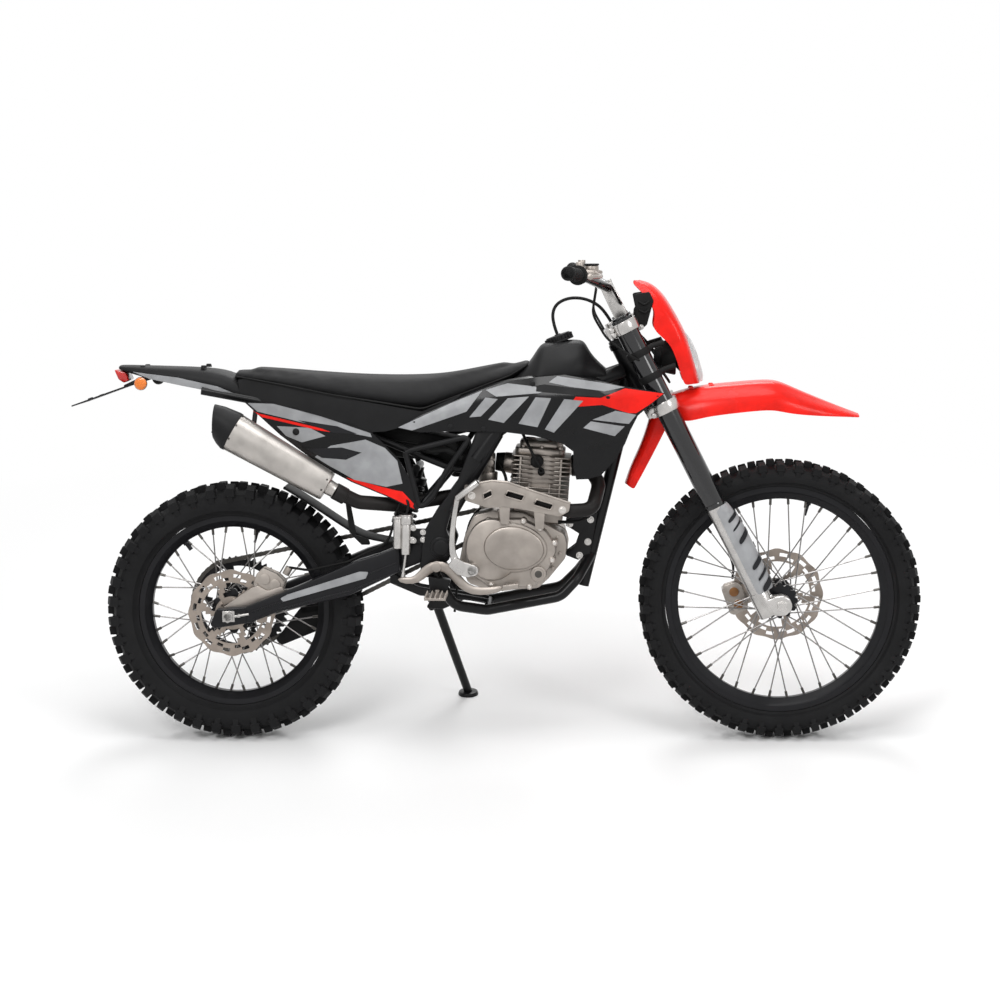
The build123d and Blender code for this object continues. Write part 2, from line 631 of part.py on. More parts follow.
# Subframe: two seat rails with braces
BRACE_FRONT = Vector(586, 80, 690)
BRACE_REAR = Vector(200, RAIL_Y, 840)
BRACE_MIDDLE = BRACE_REAR + (BRACE_FRONT - BRACE_REAR) * ((300 - BRACE_REAR.X) / (BRACE_FRONT.X - BRACE_REAR.X))
with BuildPart() as subframe:
    for side in (-1, 1):
        rod((RAIL_START.X, side * RAIL_Y, RAIL_START.Z), (RAIL_END.X, side * RAIL_Y, RAIL_END.Z), RAIL_RADIUS)
        rod((BRACE_FRONT.X, side * BRACE_FRONT.Y, BRACE_FRONT.Z),
            (BRACE_REAR.X, side * BRACE_REAR.Y, BRACE_REAR.Z), RAIL_RADIUS - 2)
    rod((RAIL_END.X + 30, -RAIL_Y, 884), (RAIL_END.X + 30, RAIL_Y, 884), RAIL_RADIUS - 2)
    rod((300, -RAIL_Y, 819), (300, RAIL_Y, 819), RAIL_RADIUS - 2)
keep(subframe, "subframe")

# Engine: crankcase, cylinder with fins, head
COVER_INNER = 98
COVER_Y = -128
BOLT_HEAD = 1
with BuildPart() as engine:
    case_line = [(588, 522), (612, 578), (736, 584), (781, 560), (836, 530), (838, 470), (797, 420),
                 (770, 395), (652, 388), (597, 408), (575, 460)]
    side_slab(case_line, -COVER_INNER, 92)
    cylinder_up = Vector(sin(radians(4)), 0, cos(radians(4)))
    BARREL = Plane(origin=(768, 0, 560), x_dir=(cos(radians(4)), 0, -sin(radians(4))), z_dir=cylinder_up)
    with BuildSketch(BARREL):
        Rectangle(110, 108)
    extrude(amount=180)
    for level in range(12):
        with BuildSketch(BARREL.offset(36 + level * 11)):
            fins = Rectangle(150, 150)
            chamfer(fins.vertices(), 14)
    extrude(amount=3.5)
    rod((800, 0, 690), (857, 0, 690), 24)
    side_slab([(560, 440), (600, 462), (664, 485), (664, 600), (560, 600)], 50, 93, mode=Mode.SUBTRACT)
    side_slab([(830, 478), (866, 478), (866, 545), (830, 540)], -LUG_HALF, LUG_HALF)
    lug_foot = CROSS_TUBE.Z + CROSS_TUBE_RADIUS + FIT
    side_slab([(622, 400), (662, 400), (655, lug_foot), (629, lug_foot)], -20, 20)
    rod((DRIVE_SHAFT.X, 48, DRIVE_SHAFT.Z), (DRIVE_SHAFT.X, CHAIN_Y + 12, DRIVE_SHAFT.Z), 13)
    with BuildSketch(side_plane(DRIVE_SHAFT, CHAIN_Y + SPROCKET_THICKNESS / 2)):
        RegularPolygon(drive_radius + 4, FRONT_TEETH)
    extrude(amount=SPROCKET_THICKNESS)
keep(engine, "engine")

with BuildPart() as clutch_cover:
    with BuildSketch(Plane.XZ.offset(COVER_INNER)):
        with BuildLine():
            Polyline((600, 470), (612, 430), (650, 402), (762, 402), (800, 450), (820, 500), (790, 545),
                     (730, 572), (640, 570), (604, 530), close=True)
        make_face()
    extrude(amount=-COVER_Y - COVER_INNER)
    chamfer(clutch_cover.faces().sort_by(Axis.Y)[0].edges(), 6)
    with BuildSketch(Plane.XZ.offset(-COVER_Y)):
        with Locations((716, 505)):
            Ellipse(72, 54)
    extrude(amount=12)
    chamfer(clutch_cover.faces().sort_by(Axis.Y)[0].edges(), 4)
    rod((737, COVER_Y, 436), (737, COVER_Y - 8, 436), 13)
    for x, z in ((612, 446), (652, 412), (758, 412), (806, 492), (776, 548), (650, 562)):
        rod((x, COVER_Y + 10, z), (x, COVER_Y - BOLT_HEAD, z), 6)
keep(clutch_cover, "clutch_cover")

with BuildPart() as generator_cover:
    with BuildSketch(Plane.XZ.offset(-92)):
        with Locations((740, 490)):
            Circle(76)
    extrude(amount=-26)
    chamfer(generator_cover.faces().sort_by(Axis.Y)[-1].edges(), 8)
    rod((740, 117, 490), (740, 122, 490), 26)
keep(generator_cover, "generator_cover")

PIPE_LINE = [(857.3, 0, 690), (893, 0, 690), (922, -54, 650), (905, -112, 592), (850, -118, 590),
             (780, -118, 612), (700, -112, 632), (620, -64, 632), (500, -62, 612), (420, -80, 602),
             (330, -120, 614), (262, -137, 653)]
PIPE_RADIUS = 15
with BuildPart() as exhaust_pipe:
    tube(PIPE_LINE, PIPE_RADIUS, 12)
keep(exhaust_pipe, "exhaust_pipe")

MUFFLER_FRONT = Vector(256, -140, 656)
MUFFLER_REAR = Vector(-6, -140, 810)
HANGER_Y = -RAIL_Y - RAIL_RADIUS - FIT
with BuildPart() as muffler:
    run = MUFFLER_REAR - MUFFLER_FRONT
    with BuildSketch(Plane(origin=MUFFLER_FRONT, z_dir=run)):
        Circle(34)
    with BuildSketch(Plane(origin=MUFFLER_REAR, z_dir=run)):
        Circle(46)
    loft()
    with BuildSketch(Plane(origin=MUFFLER_REAR, z_dir=run)):
        Circle(28)
    extrude(amount=-40, mode=Mode.SUBTRACT)
    side_slab([(6, 812), (32, 800), (32, 882), (6, 884)], HANGER_Y - 4, HANGER_Y)
    side_slab([(6, 812), (32, 800), (32, 820), (6, 828)], HANGER_Y - 32, HANGER_Y)
    tube(PIPE_LINE, PIPE_RADIUS + FIT, 12, mode=Mode.SUBTRACT)
keep(muffler, "muffler")

# Perforated guard over the engine, on posts from the clutch cover and the frame
GUARD_PLATE = [(591, 621), (604, 645), (630, 663), (672, 667), (720, 662), (850, 609), (826, 579), (655, 600)]
GUARD_Y = -140
GUARD_THICKNESS = 4
GUARD_TABS = [(691, 562), (776, 548)]
GUARD_SLOTS = [(650, 636, 0), (712, 632, -14), (770, 612, -22)]
with BuildPart() as engine_guard:
    side_slab(GUARD_PLATE, GUARD_Y - GUARD_THICKNESS, GUARD_Y)
    for x, z in GUARD_TABS:
        side_slab([(x - 14, z + 40), (x + 14, z + 36), (x + 8, z - 8), (x - 8, z - 8)],
                  GUARD_Y - GUARD_THICKNESS, GUARD_Y)
        rod((x, GUARD_Y, z), (x, COVER_Y - BOLT_HEAD - FIT, z), 6)
    rod((597, GUARD_Y, 650), (597, -PLATE_OUTER_Y - FIT, 650), 7)
    for x, z, turn in GUARD_SLOTS:
        with BuildSketch(side_plane(Vector(x, 0, z), 0)):
            with Locations(Location((0, 0), turn)):
                SlotOverall(42, 14)
        extrude(amount=400, mode=Mode.SUBTRACT)
keep(engine_guard, "engine_guard")

AIRBOX = [(330, 800), (400, 794), (480, 782), (575, 762), (600, 752), (600, 668), (560, 668), (516, 708),
          (420, 718), (345, 742)]
AIRBOX_HALF = 56
EAR_FRONT = 426
rail_slope = (RAIL_START.Z - RAIL_END.Z) / (RAIL_START.X - RAIL_END.X)
ear_top = RAIL_START.Z + rail_slope * (EAR_FRONT - RAIL_START.X) - RAIL_RADIUS * hypot(1, rail_slope) - FIT
with BuildPart() as intake:
    rod((660, 0, 700), (684, 0, 700), 24)
    rod((600, 0, 705), (660, 0, 700), 30)
    side_slab(AIRBOX, -AIRBOX_HALF, AIRBOX_HALF)
    for side in (-1, 1):
        side_slab([(EAR_FRONT - 24, 780), (EAR_FRONT, 780), (EAR_FRONT, ear_top), (EAR_FRONT - 24, ear_top)],
                  *sorted((side * (AIRBOX_HALF - 4), side * (RAIL_Y + 6))))
keep(intake, "intake")


def lofted(sections):
    """Body lofted along the bike: x, bottom, top, half width low, half width high, corner radius."""
    for x, bottom, top, low, high, corner in sections:
        with BuildSketch(Plane.YZ.offset(x)) as section:
            with BuildLine():
                Polyline((-low, bottom), (low, bottom), (high, top), (-high, top), close=True)
            make_face()
            fillet(section.vertices(), corner)
        yield section.sketch


TANK_REAR = [(650, 812, 858, 66, 60, 8), (700, 826, 890, 78, 66, 10), (757, 842, 936, 88, 70, 12)]
TANK_FRONT = [(757, 842, 966, 90, 74, 14), (790, 856, 985, 92, 70, 14), (866, 888, 1012, 84, 54, 14),
              (890, 896, 1010, 66, 46, 12), (902, 900, 965, 58, 42, 12), (945, 912, 930, 50, 44, 6)]
TANK_GAP = 0.6
with BuildPart() as fuel_tank:
    loft(list(lofted(TANK_REAR)), ruled=True)
    loft(list(lofted(TANK_FRONT)), ruled=True)
    for side in (-1, 1):
        tube([(x, side * y, z) for x, y, z in SPAR_LINE], SPAR_RADIUS + TANK_GAP, 60, mode=Mode.SUBTRACT)
    with BuildSketch(FORK.offset(HEAD_FROM - 100)):
        Circle(HEAD_RADIUS + 6)
    extrude(amount=400, mode=Mode.SUBTRACT)
keep(fuel_tank, "fuel_tank")

with BuildPart() as tank_cap:
    with BuildSketch(Plane(origin=(826, 0, 998.4), z_dir=(-0.335, 0, 0.942))):
        Circle(36)
    extrude(amount=20)
keep(tank_cap, "tank_cap")

# Breather hose from the cap into the top of the steering stem, one tangent arc at each bend
HOSE_RADIUS = 4
STEM_TOP = FORK.origin + STEM_UP * (UPPER_CLAMP_AT + CLAMP_HEIGHT + 8 + RUNNING_GAP)
HOSE_LINE = [(819, 0, 1018), (806, 1, 1052), (812, 4, 1088), (842, 7, 1106), (880, 6, 1107),
             (914, 3, 1094), (937, 1, 1073), tuple(STEM_TOP)]
hose_points = [Vector(*point) for point in HOSE_LINE]
hose_bends = []
for before, corner, after in zip(hose_points, hose_points[1:], hose_points[2:]):
    run = min((corner - before).length, (after - corner).length)
    turn = (corner - before).get_angle(after - corner)
    hose_bends.append(0.45 * run / tan(radians(turn / 2)))
print("hose bend radii", [round(radius, 1) for radius in hose_bends])
with BuildPart() as vent_hose:
    with BuildLine() as hose_path:
        FilletPolyline(*HOSE_LINE, radius=hose_bends)
    with BuildSketch(Plane(origin=hose_path.line @ 0, z_dir=hose_path.line % 0)) as hose_section:
        RegularPolygon(HOSE_RADIUS, TUBE_SIDES)
    sweep(path=hose_path.line)
hose_length = sum(edge.length for edge in hose_path.line.edges())
hose_share = vent_hose.part.volume / (hose_section.sketch.area * hose_length)
print("hose length", round(hose_length, 1), "volume share", round(hose_share, 4))
keep(vent_hose, "vent_hose")

SEAT = [(10, 918, 940, 62, 52, 8), (150, 892, 932, 92, 78, 12), (266, 868, 922, 112, 92, 16),
        (380, 846, 916, 124, 98, 20), (490, 821, 916, 118, 92, 20), (560, 852, 922, 100, 78, 18),
        (640, 884, 938, 76, 60, 14), (710, 912, 950, 60, 48, 10), (754, 944, 962, 50, 42, 6)]
with BuildPart() as seat:
    loft(list(lofted(SEAT)), ruled=True)
keep(seat, "seat")

FENDER = [(-278, 934, 946, 42, 38, 3), (-190, 918, 944, 60, 54, 4), (-100, 905, 941, 72, 64, 5),
          (-2, 892, 936, 78, 68, 6)]
with BuildPart() as rear_fender:
    loft(list(lofted(FENDER)), ruled=True)
keep(rear_fender, "rear_fender")


def curved_panel(outline, plan, thickness):
    """Moulded panel: a side outline cut out of a wall that follows a line in plan."""
    inner = [(x, -y) for x, y in plan]
    outer = [(x, -y - thickness) for x, y in reversed(plan)]
    with BuildPart() as panel:
        with BuildSketch(Plane.XY):
            with BuildLine():
                Polyline(*inner, *outer, close=True)
            make_face()
        extrude(amount=1400)
        with BuildSketch(Plane.XZ):
            with BuildLine():
                Polyline(*outline, close=True)
            make_face()
        extrude(amount=400, mode=Mode.INTERSECT)
        mirror(about=Plane.XZ)
    return panel


SHROUD = [(436, 794), (545, 843), (640, 876), (711, 905), (839, 924), (974, 898), (1081, 881), (1030, 826),
          (1000, 766), (969, 710), (933, 668), (870, 662), (868, 740), (764, 777), (566, 786)]
SHROUD_PLAN = [(430, 128), (560, 124), (640, 120), (760, 122), (900, 140), (980, 147), (1090, 150)]
SHROUD_LEDGE = [(560, 104), (640, 88), (711, 84), (790, 84), (866, 78), (930, 66)]
SHROUD_TOP = [(545, 843), (640, 876), (711, 905), (839, 924), (930, 907)]
shrouds = curved_panel(SHROUD, SHROUD_PLAN, 4)
with BuildPart() as ledge:
    with BuildSketch(Plane.XZ):
        with BuildLine():
            Polyline(*SHROUD_TOP, *[(x, z - 4) for x, z in reversed(SHROUD_TOP)], close=True)
        make_face()
    extrude(amount=400)
    with BuildSketch(Plane.XY):
        with BuildLine():
            Polyline(*[(x, -y) for x, y in SHROUD_LEDGE], (930, -143), (900, -141), (760, -123), (640, -121),
                     (560, -125), close=True)
        make_face()
    extrude(amount=1400, mode=Mode.INTERSECT)
    mirror(about=Plane.XZ)
with shrouds:
    add(ledge.part)
keep(shrouds, "shrouds")

SIDE_PANEL = [(47, 860), (113, 863), (300, 812), (362, 790), (415, 720), (480, 620), (470, 590), (400, 628),
              (313, 663), (255, 690), (137, 777)]
SIDE_PLAN = [(40, 84), (137, 86), (200, 92), (262, 98), (330, 112), (400, 122), (490, 122)]
side_panels = curved_panel(SIDE_PANEL, SIDE_PLAN, 4)
with side_panels:
    for side in (-1, 1):
        seat_y = BRACE_MIDDLE.Y + RAIL_RADIUS - 2 + FIT
        rod((300, side * seat_y, BRACE_MIDDLE.Z), (300, side * 108, BRACE_MIDDLE.Z), 7)
keep(side_panels, "side_panels")

with BuildPart() as tail_lamps:
    side_slab([(-284, 931), (-256, 929), (-258, 908), (-272, 906)], -36, 36)
    for side in (-1, 1):
        rod((-210, side * 46, 916.4 - FIT), (-210, side * 96, 908), 5)
        rod((-222, side * 108, 908), (-190, side * 108, 910), 15)
        rod((-210, side * 92, 908), (-210, side * 98, 908), 5)
keep(tail_lamps, "tail_lamps")

PLATE = Plane(origin=(PLATE_TIP_X, 0, 851.5), x_dir=(0, 1, 0), z_dir=(-0.331, 0, 0.9436))
PLATE_LENGTH = 139
PLATE_WIDTH = 180
PLATE_THICKNESS = 3.3
PLATE_HOLE_FROM_TIP = 46
with BuildPart() as plate_holder:
    with BuildSketch(PLATE.offset(-PLATE_THICKNESS / 2)):
        with Locations((0, -PLATE_LENGTH / 2)):
            Rectangle(PLATE_WIDTH, PLATE_LENGTH)
        with Locations((PLATE_HOLE_Y, -PLATE_HOLE_FROM_TIP), (-PLATE_HOLE_Y, -PLATE_HOLE_FROM_TIP)):
            Circle(PLATE_HOLE_RADIUS, mode=Mode.SUBTRACT)
    extrude(amount=PLATE_THICKNESS)
    side_slab([(-258, 894), (-236, 902), (-196, 914), (-196, 918.8), (-214, 922), (-238, 908), (-258, 899)], -40, 40)
keep(plate_holder, "plate_holder")

# Swingarm, rear axle and what rides on them
ARM_BEAM = [(-47, 308), (-38, 297), (56, 312), (124, 339), (303, 380), (378, 415), (430, 440), (430, 505),
            (379, 485), (327, 469), (170, 402), (44, 353), (-30, 347)]
ARM_YOKE = [(398, 428), (470, 455), (530, 478), (552, 490), (552, 512), (530, 522), (470, 512), (398, 492)]
with BuildPart() as swingarm:
    for side in (-1, 1):
        side_slab(ARM_BEAM, *sorted((side * ARM_INNER_Y, side * (ARM_INNER_Y + ARM_THICKNESS))))
        side_slab(ARM_YOKE, *sorted((side * 76, side * 90)))
    rod((PIVOT.X, -90, PIVOT.Z), (PIVOT.X, 90, PIVOT.Z), 20)
    rod((478, -80, 488), (478, 80, 488), 16)
    rod((PIVOT.X, -91, PIVOT.Z), (PIVOT.X, 91, PIVOT.Z), 9 + FIT, mode=Mode.SUBTRACT)
    rod((0, -200, REAR_AXLE.Z), (0, 200, REAR_AXLE.Z), REAR.axle_radius + FIT, mode=Mode.SUBTRACT)
keep(swingarm, "swingarm")

with BuildPart() as rear_axle:
    with BuildSketch(side_plane(REAR_AXLE, AXLE_END_Y)):
        Circle(REAR.axle_radius)
    extrude(amount=2 * AXLE_END_Y)
    for side in (-1, 1):
        rod((0, side * 116.5, REAR_AXLE.Z), (0, side * AXLE_END_Y, REAR_AXLE.Z), 17)
    rod((0, REAR.hub_end + RUNNING_GAP, REAR_AXLE.Z), (0, ARM_INNER_Y - FIT, REAR_AXLE.Z), 18)
keep(rear_axle, "rear_axle")

# Chain guide: a block round the lower run, hung from the arm
GUIDE_SIDE = [(93, 240), (105, 224), (199, 262), (207, 330), (157, 322)]
GUIDE_INNER_Y = 47
GUIDE_OUTER_Y = 81
with BuildPart() as chain_guide:
    side_slab(GUIDE_SIDE, GUIDE_INNER_Y, GUIDE_INNER_Y + 5)
    side_slab(GUIDE_SIDE, GUIDE_OUTER_Y - 5, GUIDE_OUTER_Y)
    side_slab([(160, 306), (206, 314), (207, 330), (157, 322)], GUIDE_INNER_Y, GUIDE_OUTER_Y)
    side_slab([(165, 318), (205, 326), (200, 378), (170, 368)], GUIDE_OUTER_Y - 5, ARM_INNER_Y - FIT)
keep(chain_guide, "chain_guide")

with BuildPart() as rear_caliper:
    side_slab([(60, 400), (118, 372), (140, 410), (84, 446)], -84, -46)
    side_slab([(-20, 312), (14, 304), (34, 322), (118, 372), (140, 410), (84, 446), (60, 400), (-18, 346)],
              FIT - ARM_INNER_Y, -80)
    rod((0, -ARM_INNER_Y - 2, REAR_AXLE.Z), (0, -40, REAR_AXLE.Z), REAR.axle_radius + FIT, mode=Mode.SUBTRACT)
    with BuildSketch(side_plane(REAR_AXLE, REAR.disc_y + 5)):
        Circle(REAR.disc_radius + 5)
    extrude(amount=10, mode=Mode.SUBTRACT)
keep(rear_caliper, "rear_caliper")

with BuildPart() as rear_master_cylinder:
    rod((448, CYLINDER_Y, 485), (448, CYLINDER_Y, 552), CYLINDER_RADIUS)
    rod((448, CYLINDER_Y, 552), (448, CYLINDER_Y, 584), CYLINDER_RADIUS + 6)
keep(rear_master_cylinder, "rear_master_cylinder")

with BuildPart() as brake_pedal:
    tube([(430, -135, 421), (464, -135, 416), (522, -140, 456), (576, -140, 424), (599, -145, 396),
          (700, -150, 408)], 7, 14)
    rod((522, -PLATE_OUTER_Y - FIT, 455), (522, -152, 455), 12)
    side_slab([(688, 402), (722, 408), (722, 418), (688, 412)], -172, -146)
keep(brake_pedal, "brake_pedal")

with BuildPart() as gear_lever:
    tube([(622, 142, 432), (650, 142, 420), (720, 146, 404), (762, 150, 404)], 6, 12)
    rod((622, 92 + FIT, 432), (622, 150, 432), 11)
    rod((756, 148, 404), (756, 178, 404), 8)
keep(gear_lever, "gear_lever")

with BuildPart() as kick_lever:
    tube([(585, -152, 449), (566, -156, 474), (566, -160, 560), (577, -163, 632)], 8, 14)
    rod((577, -163, 632), (627, -168, 667), 9)
    rod((612, COVER_Y - BOLT_HEAD - FIT, 449), (612, -164, 449), 13)
    side_slab([(560, 440), (612, 436), (612, 462), (560, 470)], -164, -146)
keep(kick_lever, "kick_lever")

PEG_OUTER_Y = 228
with BuildPart() as footpegs:
    for side in (-1, 1):
        side_slab([(510, 378), (536, 378), (536, 392), (510, 392)],
                  *sorted((side * PEG_INNER_Y, side * PEG_OUTER_Y)))
        side_slab([(498, 386), (550, 386), (550, 392), (498, 392)],
                  *sorted((side * (PEG_INNER_Y + 14), side * PEG_OUTER_Y)))
        for tooth in range(6):
            inner = PEG_INNER_Y + 16 + tooth * 15
            side_slab([(498, 391), (550, 391), (550, 397), (543, 392), (505, 392), (498, 397)],
                      *sorted((side * inner, side * (inner + 4))))
keep(footpegs, "footpegs")

# Shock absorber with its spring rings, and the link under it
SHOCK_TOP = Vector(470, 0, 690)
SHOCK_FOOT = Vector(426, 0, 536)
SPRING_RINGS = 7
link_seat = CROSS_TUBE.Z + CROSS_TUBE_RADIUS + FIT
with BuildPart() as rear_suspension:
    rod(SHOCK_FOOT, SHOCK_TOP, 17)
    rise = (SHOCK_TOP - SHOCK_FOOT).normalized()
    for ring in range(SPRING_RINGS):
        with BuildSketch(Plane(origin=SHOCK_FOOT + rise * (14 + ring * 15), z_dir=rise)):
            RegularPolygon(30, 12)
    extrude(amount=8)
    rod((SHOCK_TOP.X, -AIRBOX_HALF, SHOCK_TOP.Z), (SHOCK_TOP.X, AIRBOX_HALF, SHOCK_TOP.Z), 9)
    rod((SHOCK_FOOT.X, -16, SHOCK_FOOT.Z), (SHOCK_FOOT.X, 16, SHOCK_FOOT.Z), 18)
    side_slab([(412, 536), (440, 536), (430, 470), (420, 400), (398, 400), (396, 430)], -14, 14)
    rod((408, -30, 410), (408, 30, 410), 9)
    for side in (-1, 1):
        side_slab([(396, 420), (396, 398), (470, 366), (CROSS_TUBE.X, link_seat), (CROSS_TUBE.X, link_seat + 9),
                   (470, 388)], *sorted((side * 22, side * 30)))
keep(rear_suspension, "rear_suspension")

with BuildPart() as mud_flap:
    side_slab([(141, 642), (300, 535), (351, 514), (351, 511), (300, 531), (141, 638)], -50, 50)
    for side in (-1, 1):
        side_slab([(350, 514), (440, 496), (461.7, 491), (461.7, 488), (440, 492), (350, 511)],
                  *sorted((side * 24, side * 50)))
keep(mud_flap, "mud_flap")

# Side stand
with BuildPart() as side_stand:
    ground_up = upright(Vector(0, 0, 1))
    rod(STAND_PIVOT - stand_axis * 9, STAND_PIVOT + stand_axis * 9, 17)
    rod(STAND_PIVOT + stand_down * 10, stand_foot + ground_up * 6, STAND_RADIUS)
    rod(stand_foot, stand_foot + ground_up * 10, 27)
    rod(STAND_PIVOT - stand_axis * 20, STAND_PIVOT + stand_axis * 20, 7.5, mode=Mode.SUBTRACT)
    with BuildSketch(Plane(origin=stand_foot, z_dir=ground_up * -1)):
        Circle(60)
    extrude(amount=30, mode=Mode.SUBTRACT)
keep(side_stand, "side_stand")
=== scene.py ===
# %% [markdown]
# A motocross bike for the road, dressed in Blender around its imported model. The imported model is a fixed frame: its
# pieces are never moved, and every new piece is built where the frame says. First come the tools that all later cells
# share, then the room and the camera, then the finishes, and then the bike, piece by piece, with its cords.

# %% Load the frame
import json
import math
import random

import bpy
from mathutils import Matrix, Vector
from mathutils.geometry import delaunay_2d_cdt


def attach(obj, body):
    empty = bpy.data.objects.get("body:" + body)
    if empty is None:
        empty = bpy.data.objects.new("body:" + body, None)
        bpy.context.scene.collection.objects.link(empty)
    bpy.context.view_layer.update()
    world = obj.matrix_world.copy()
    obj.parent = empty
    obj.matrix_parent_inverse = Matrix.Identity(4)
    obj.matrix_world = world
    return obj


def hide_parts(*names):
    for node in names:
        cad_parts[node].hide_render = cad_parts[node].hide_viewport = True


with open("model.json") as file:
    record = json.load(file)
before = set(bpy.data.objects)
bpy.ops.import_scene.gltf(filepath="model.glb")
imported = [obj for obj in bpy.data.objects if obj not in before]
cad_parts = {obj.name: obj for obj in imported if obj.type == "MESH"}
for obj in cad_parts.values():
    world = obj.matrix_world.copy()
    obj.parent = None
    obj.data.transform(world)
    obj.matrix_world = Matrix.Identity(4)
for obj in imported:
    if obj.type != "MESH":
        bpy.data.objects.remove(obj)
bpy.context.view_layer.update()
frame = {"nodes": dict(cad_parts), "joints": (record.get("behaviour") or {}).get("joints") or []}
nodes = frame["nodes"]
print("the frame has", len(nodes), "nodes")

# %% [markdown]
# The bike leans on its side stand, but it is far easier to model it upright. The two wheel axes in the record
# give the lean and the place of the rear axle, and from them a matrix that parks an upright piece. Points are
# written in millimetres in the upright bike: x forward from the rear axle, y to the rider's left, z up.

# %% Place of the parked bike
joints = {joint["name"]: joint for joint in frame["joints"]}
REAR_AXLE_HEIGHT = 0.328167
axle_way = Vector(joints["rear_wheel_spin"]["axis"])
rear_axle_place = Vector(joints["rear_wheel_spin"]["pos_m"])
front_axle_place = Vector(joints["front_wheel_spin"]["pos_m"])
up_way = Vector((1, 0, 0)).cross(axle_way)
PARKED = Matrix.Translation(rear_axle_place - up_way * REAR_AXLE_HEIGHT) @ Matrix(
    (Vector((1, 0, 0)), axle_way, up_way)).transposed().to_4x4()
UPRIGHT = PARKED.inverted()
REAR_AXLE = UPRIGHT @ rear_axle_place
FRONT_AXLE = UPRIGHT @ front_axle_place
STEM_FOOT = UPRIGHT @ Vector(joints["steering"]["pos_m"])
STEM_UP = (UPRIGHT.to_3x3() @ Vector(joints["steering"]["axis"])).normalized()
STEM_FORWARD = Vector((0, 1, 0)).cross(STEM_UP)
print("wheelbase", round(FRONT_AXLE.x, 3), "lean", round(math.degrees(math.asin(-axle_way.z)), 1))


def mm(x, y, z):
    """Point of the upright bike, given in millimetres."""
    return Vector((x, y, z)) / 1000


def fork(forward, left, up):
    """Point of the upright bike, given in millimetres from the foot of the steering axis."""
    return STEM_FOOT + (STEM_FORWARD * forward + Vector((0, left, 0)) + STEM_UP * up) / 1000


# %% [markdown]
# A piece is finished in three steps: its modifiers are applied, it is parked with the matrix above so that its object
# can stay at the origin, and it is hung on the body that carries it, while the plain solids it stands for are hidden.

# %% Finish a piece
def alone(piece):
    """Select one object and make it the active one."""
    bpy.ops.object.select_all(action="DESELECT")
    piece.select_set(True)
    bpy.context.view_layer.objects.active = piece


def apply_all(piece):
    """Apply every modifier of a piece, in order."""
    alone(piece)
    for modifier in list(piece.modifiers):
        bpy.ops.object.modifier_apply(modifier=modifier.name)


def joined(name, pieces):
    """Join several objects into one piece."""
    bpy.ops.object.select_all(action="DESELECT")
    for piece in pieces:
        piece.select_set(True)
    bpy.context.view_layer.objects.active = pieces[0]
    bpy.ops.object.join()
    pieces[0].name = name
    return pieces[0]


def finish(piece, name, body, material=None, stands_for=(), smooth=35):
    """Park an upright piece, give it its finish and hang it on its body."""
    apply_all(piece)
    bpy.ops.object.transform_apply(location=True, rotation=True, scale=True)
    piece.data.transform(PARKED)
    piece.name = name
    if material:
        piece.data.materials.clear()
        piece.data.materials.append(material)
    if smooth:
        alone(piece)
        bpy.ops.object.shade_smooth_by_angle(angle=math.radians(smooth))
    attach(piece, body)
    if stands_for:
        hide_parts(*stands_for)
    print(name, "has", len(piece.data.polygons), "faces")
    return piece


# %% [markdown]
# The room is a plain pale floor and soft studio light from large lamps. The photograph was taken square from the
# right side with a long lens. The camera was found in the upright bike's own frame, so it leans with the bike:
# the bike then looks as it does in the photograph, and the floor shows a little more.

# %% Room, lamps and camera
bpy.context.scene.view_settings.view_transform = "Standard"
LENS_MM = 77.6
CAMERA_PLACE = mm(925, -5360, 1250)
CAMERA_YAW = math.radians(-2.69)
CAMERA_PITCH = math.radians(-6.87)
CAMERA_ROLL = math.radians(-0.53)
camera_data = bpy.data.cameras.new("photo_camera")
camera_data.lens = LENS_MM
camera_data.sensor_width = 36
camera = bpy.data.objects.new("photo_camera", camera_data)
bpy.context.scene.collection.objects.link(camera)
turn = (Matrix.Rotation(-CAMERA_YAW, 4, "Z") @ Matrix.Rotation(math.radians(90) + CAMERA_PITCH, 4, "X")
        @ Matrix.Rotation(CAMERA_ROLL, 4, "Z"))
camera.matrix_world = PARKED @ Matrix.Translation(CAMERA_PLACE) @ turn
bpy.context.scene.camera = camera
print("camera at", [round(value, 2) for value in camera.matrix_world.translation])

bpy.ops.object.select_all(action="DESELECT")
bpy.ops.mesh.primitive_circle_add(vertices=96, radius=14, fill_type="NGON", location=(0, 0, 0))
floor = bpy.context.active_object
floor.name = "studio_floor"

LAMPS = [  # name, place, size, power
    ("key_lamp", (-1.6, -4.2, 4.6), 2.2, 112),
    ("fill_lamp", (3.6, -3.4, 3.4), 1.6, 48),
    ("back_lamp", (0.4, 3.8, 4.2), 2.6, 100),
    ("top_lamp", (0.2, -0.4, 4.8), 3.0, 96),
]
for name, place, size, power in LAMPS:
    lamp_data = bpy.data.lights.new(name, "AREA")
    lamp_data.shape = "DISK"
    lamp_data.size = size
    lamp_data.energy = power
    lamp = bpy.data.objects.new(name, lamp_data)
    bpy.context.scene.collection.objects.link(lamp)
    lamp.location = place
    lamp.rotation_euler = (Vector((0, 0, 0.6)) - Vector(place)).to_track_quat("-Z", "Y").to_euler()

world = bpy.data.worlds.new("studio")
bpy.context.scene.world = world
world.use_nodes = True


def seen_directly(tree):
    """One where the camera, a mirror or a glass looks, and nothing for light that falls on the bike."""
    path = tree.nodes.new("ShaderNodeLightPath")
    total = path.outputs["Is Camera Ray"]
    for ray in ("Is Glossy Ray", "Is Transmission Ray"):
        either = tree.nodes.new("ShaderNodeMath")
        either.operation = "MAXIMUM"
        tree.links.new(total, either.inputs[0])
        tree.links.new(path.outputs[ray], either.inputs[1])
        total = either.outputs[0]
    return total


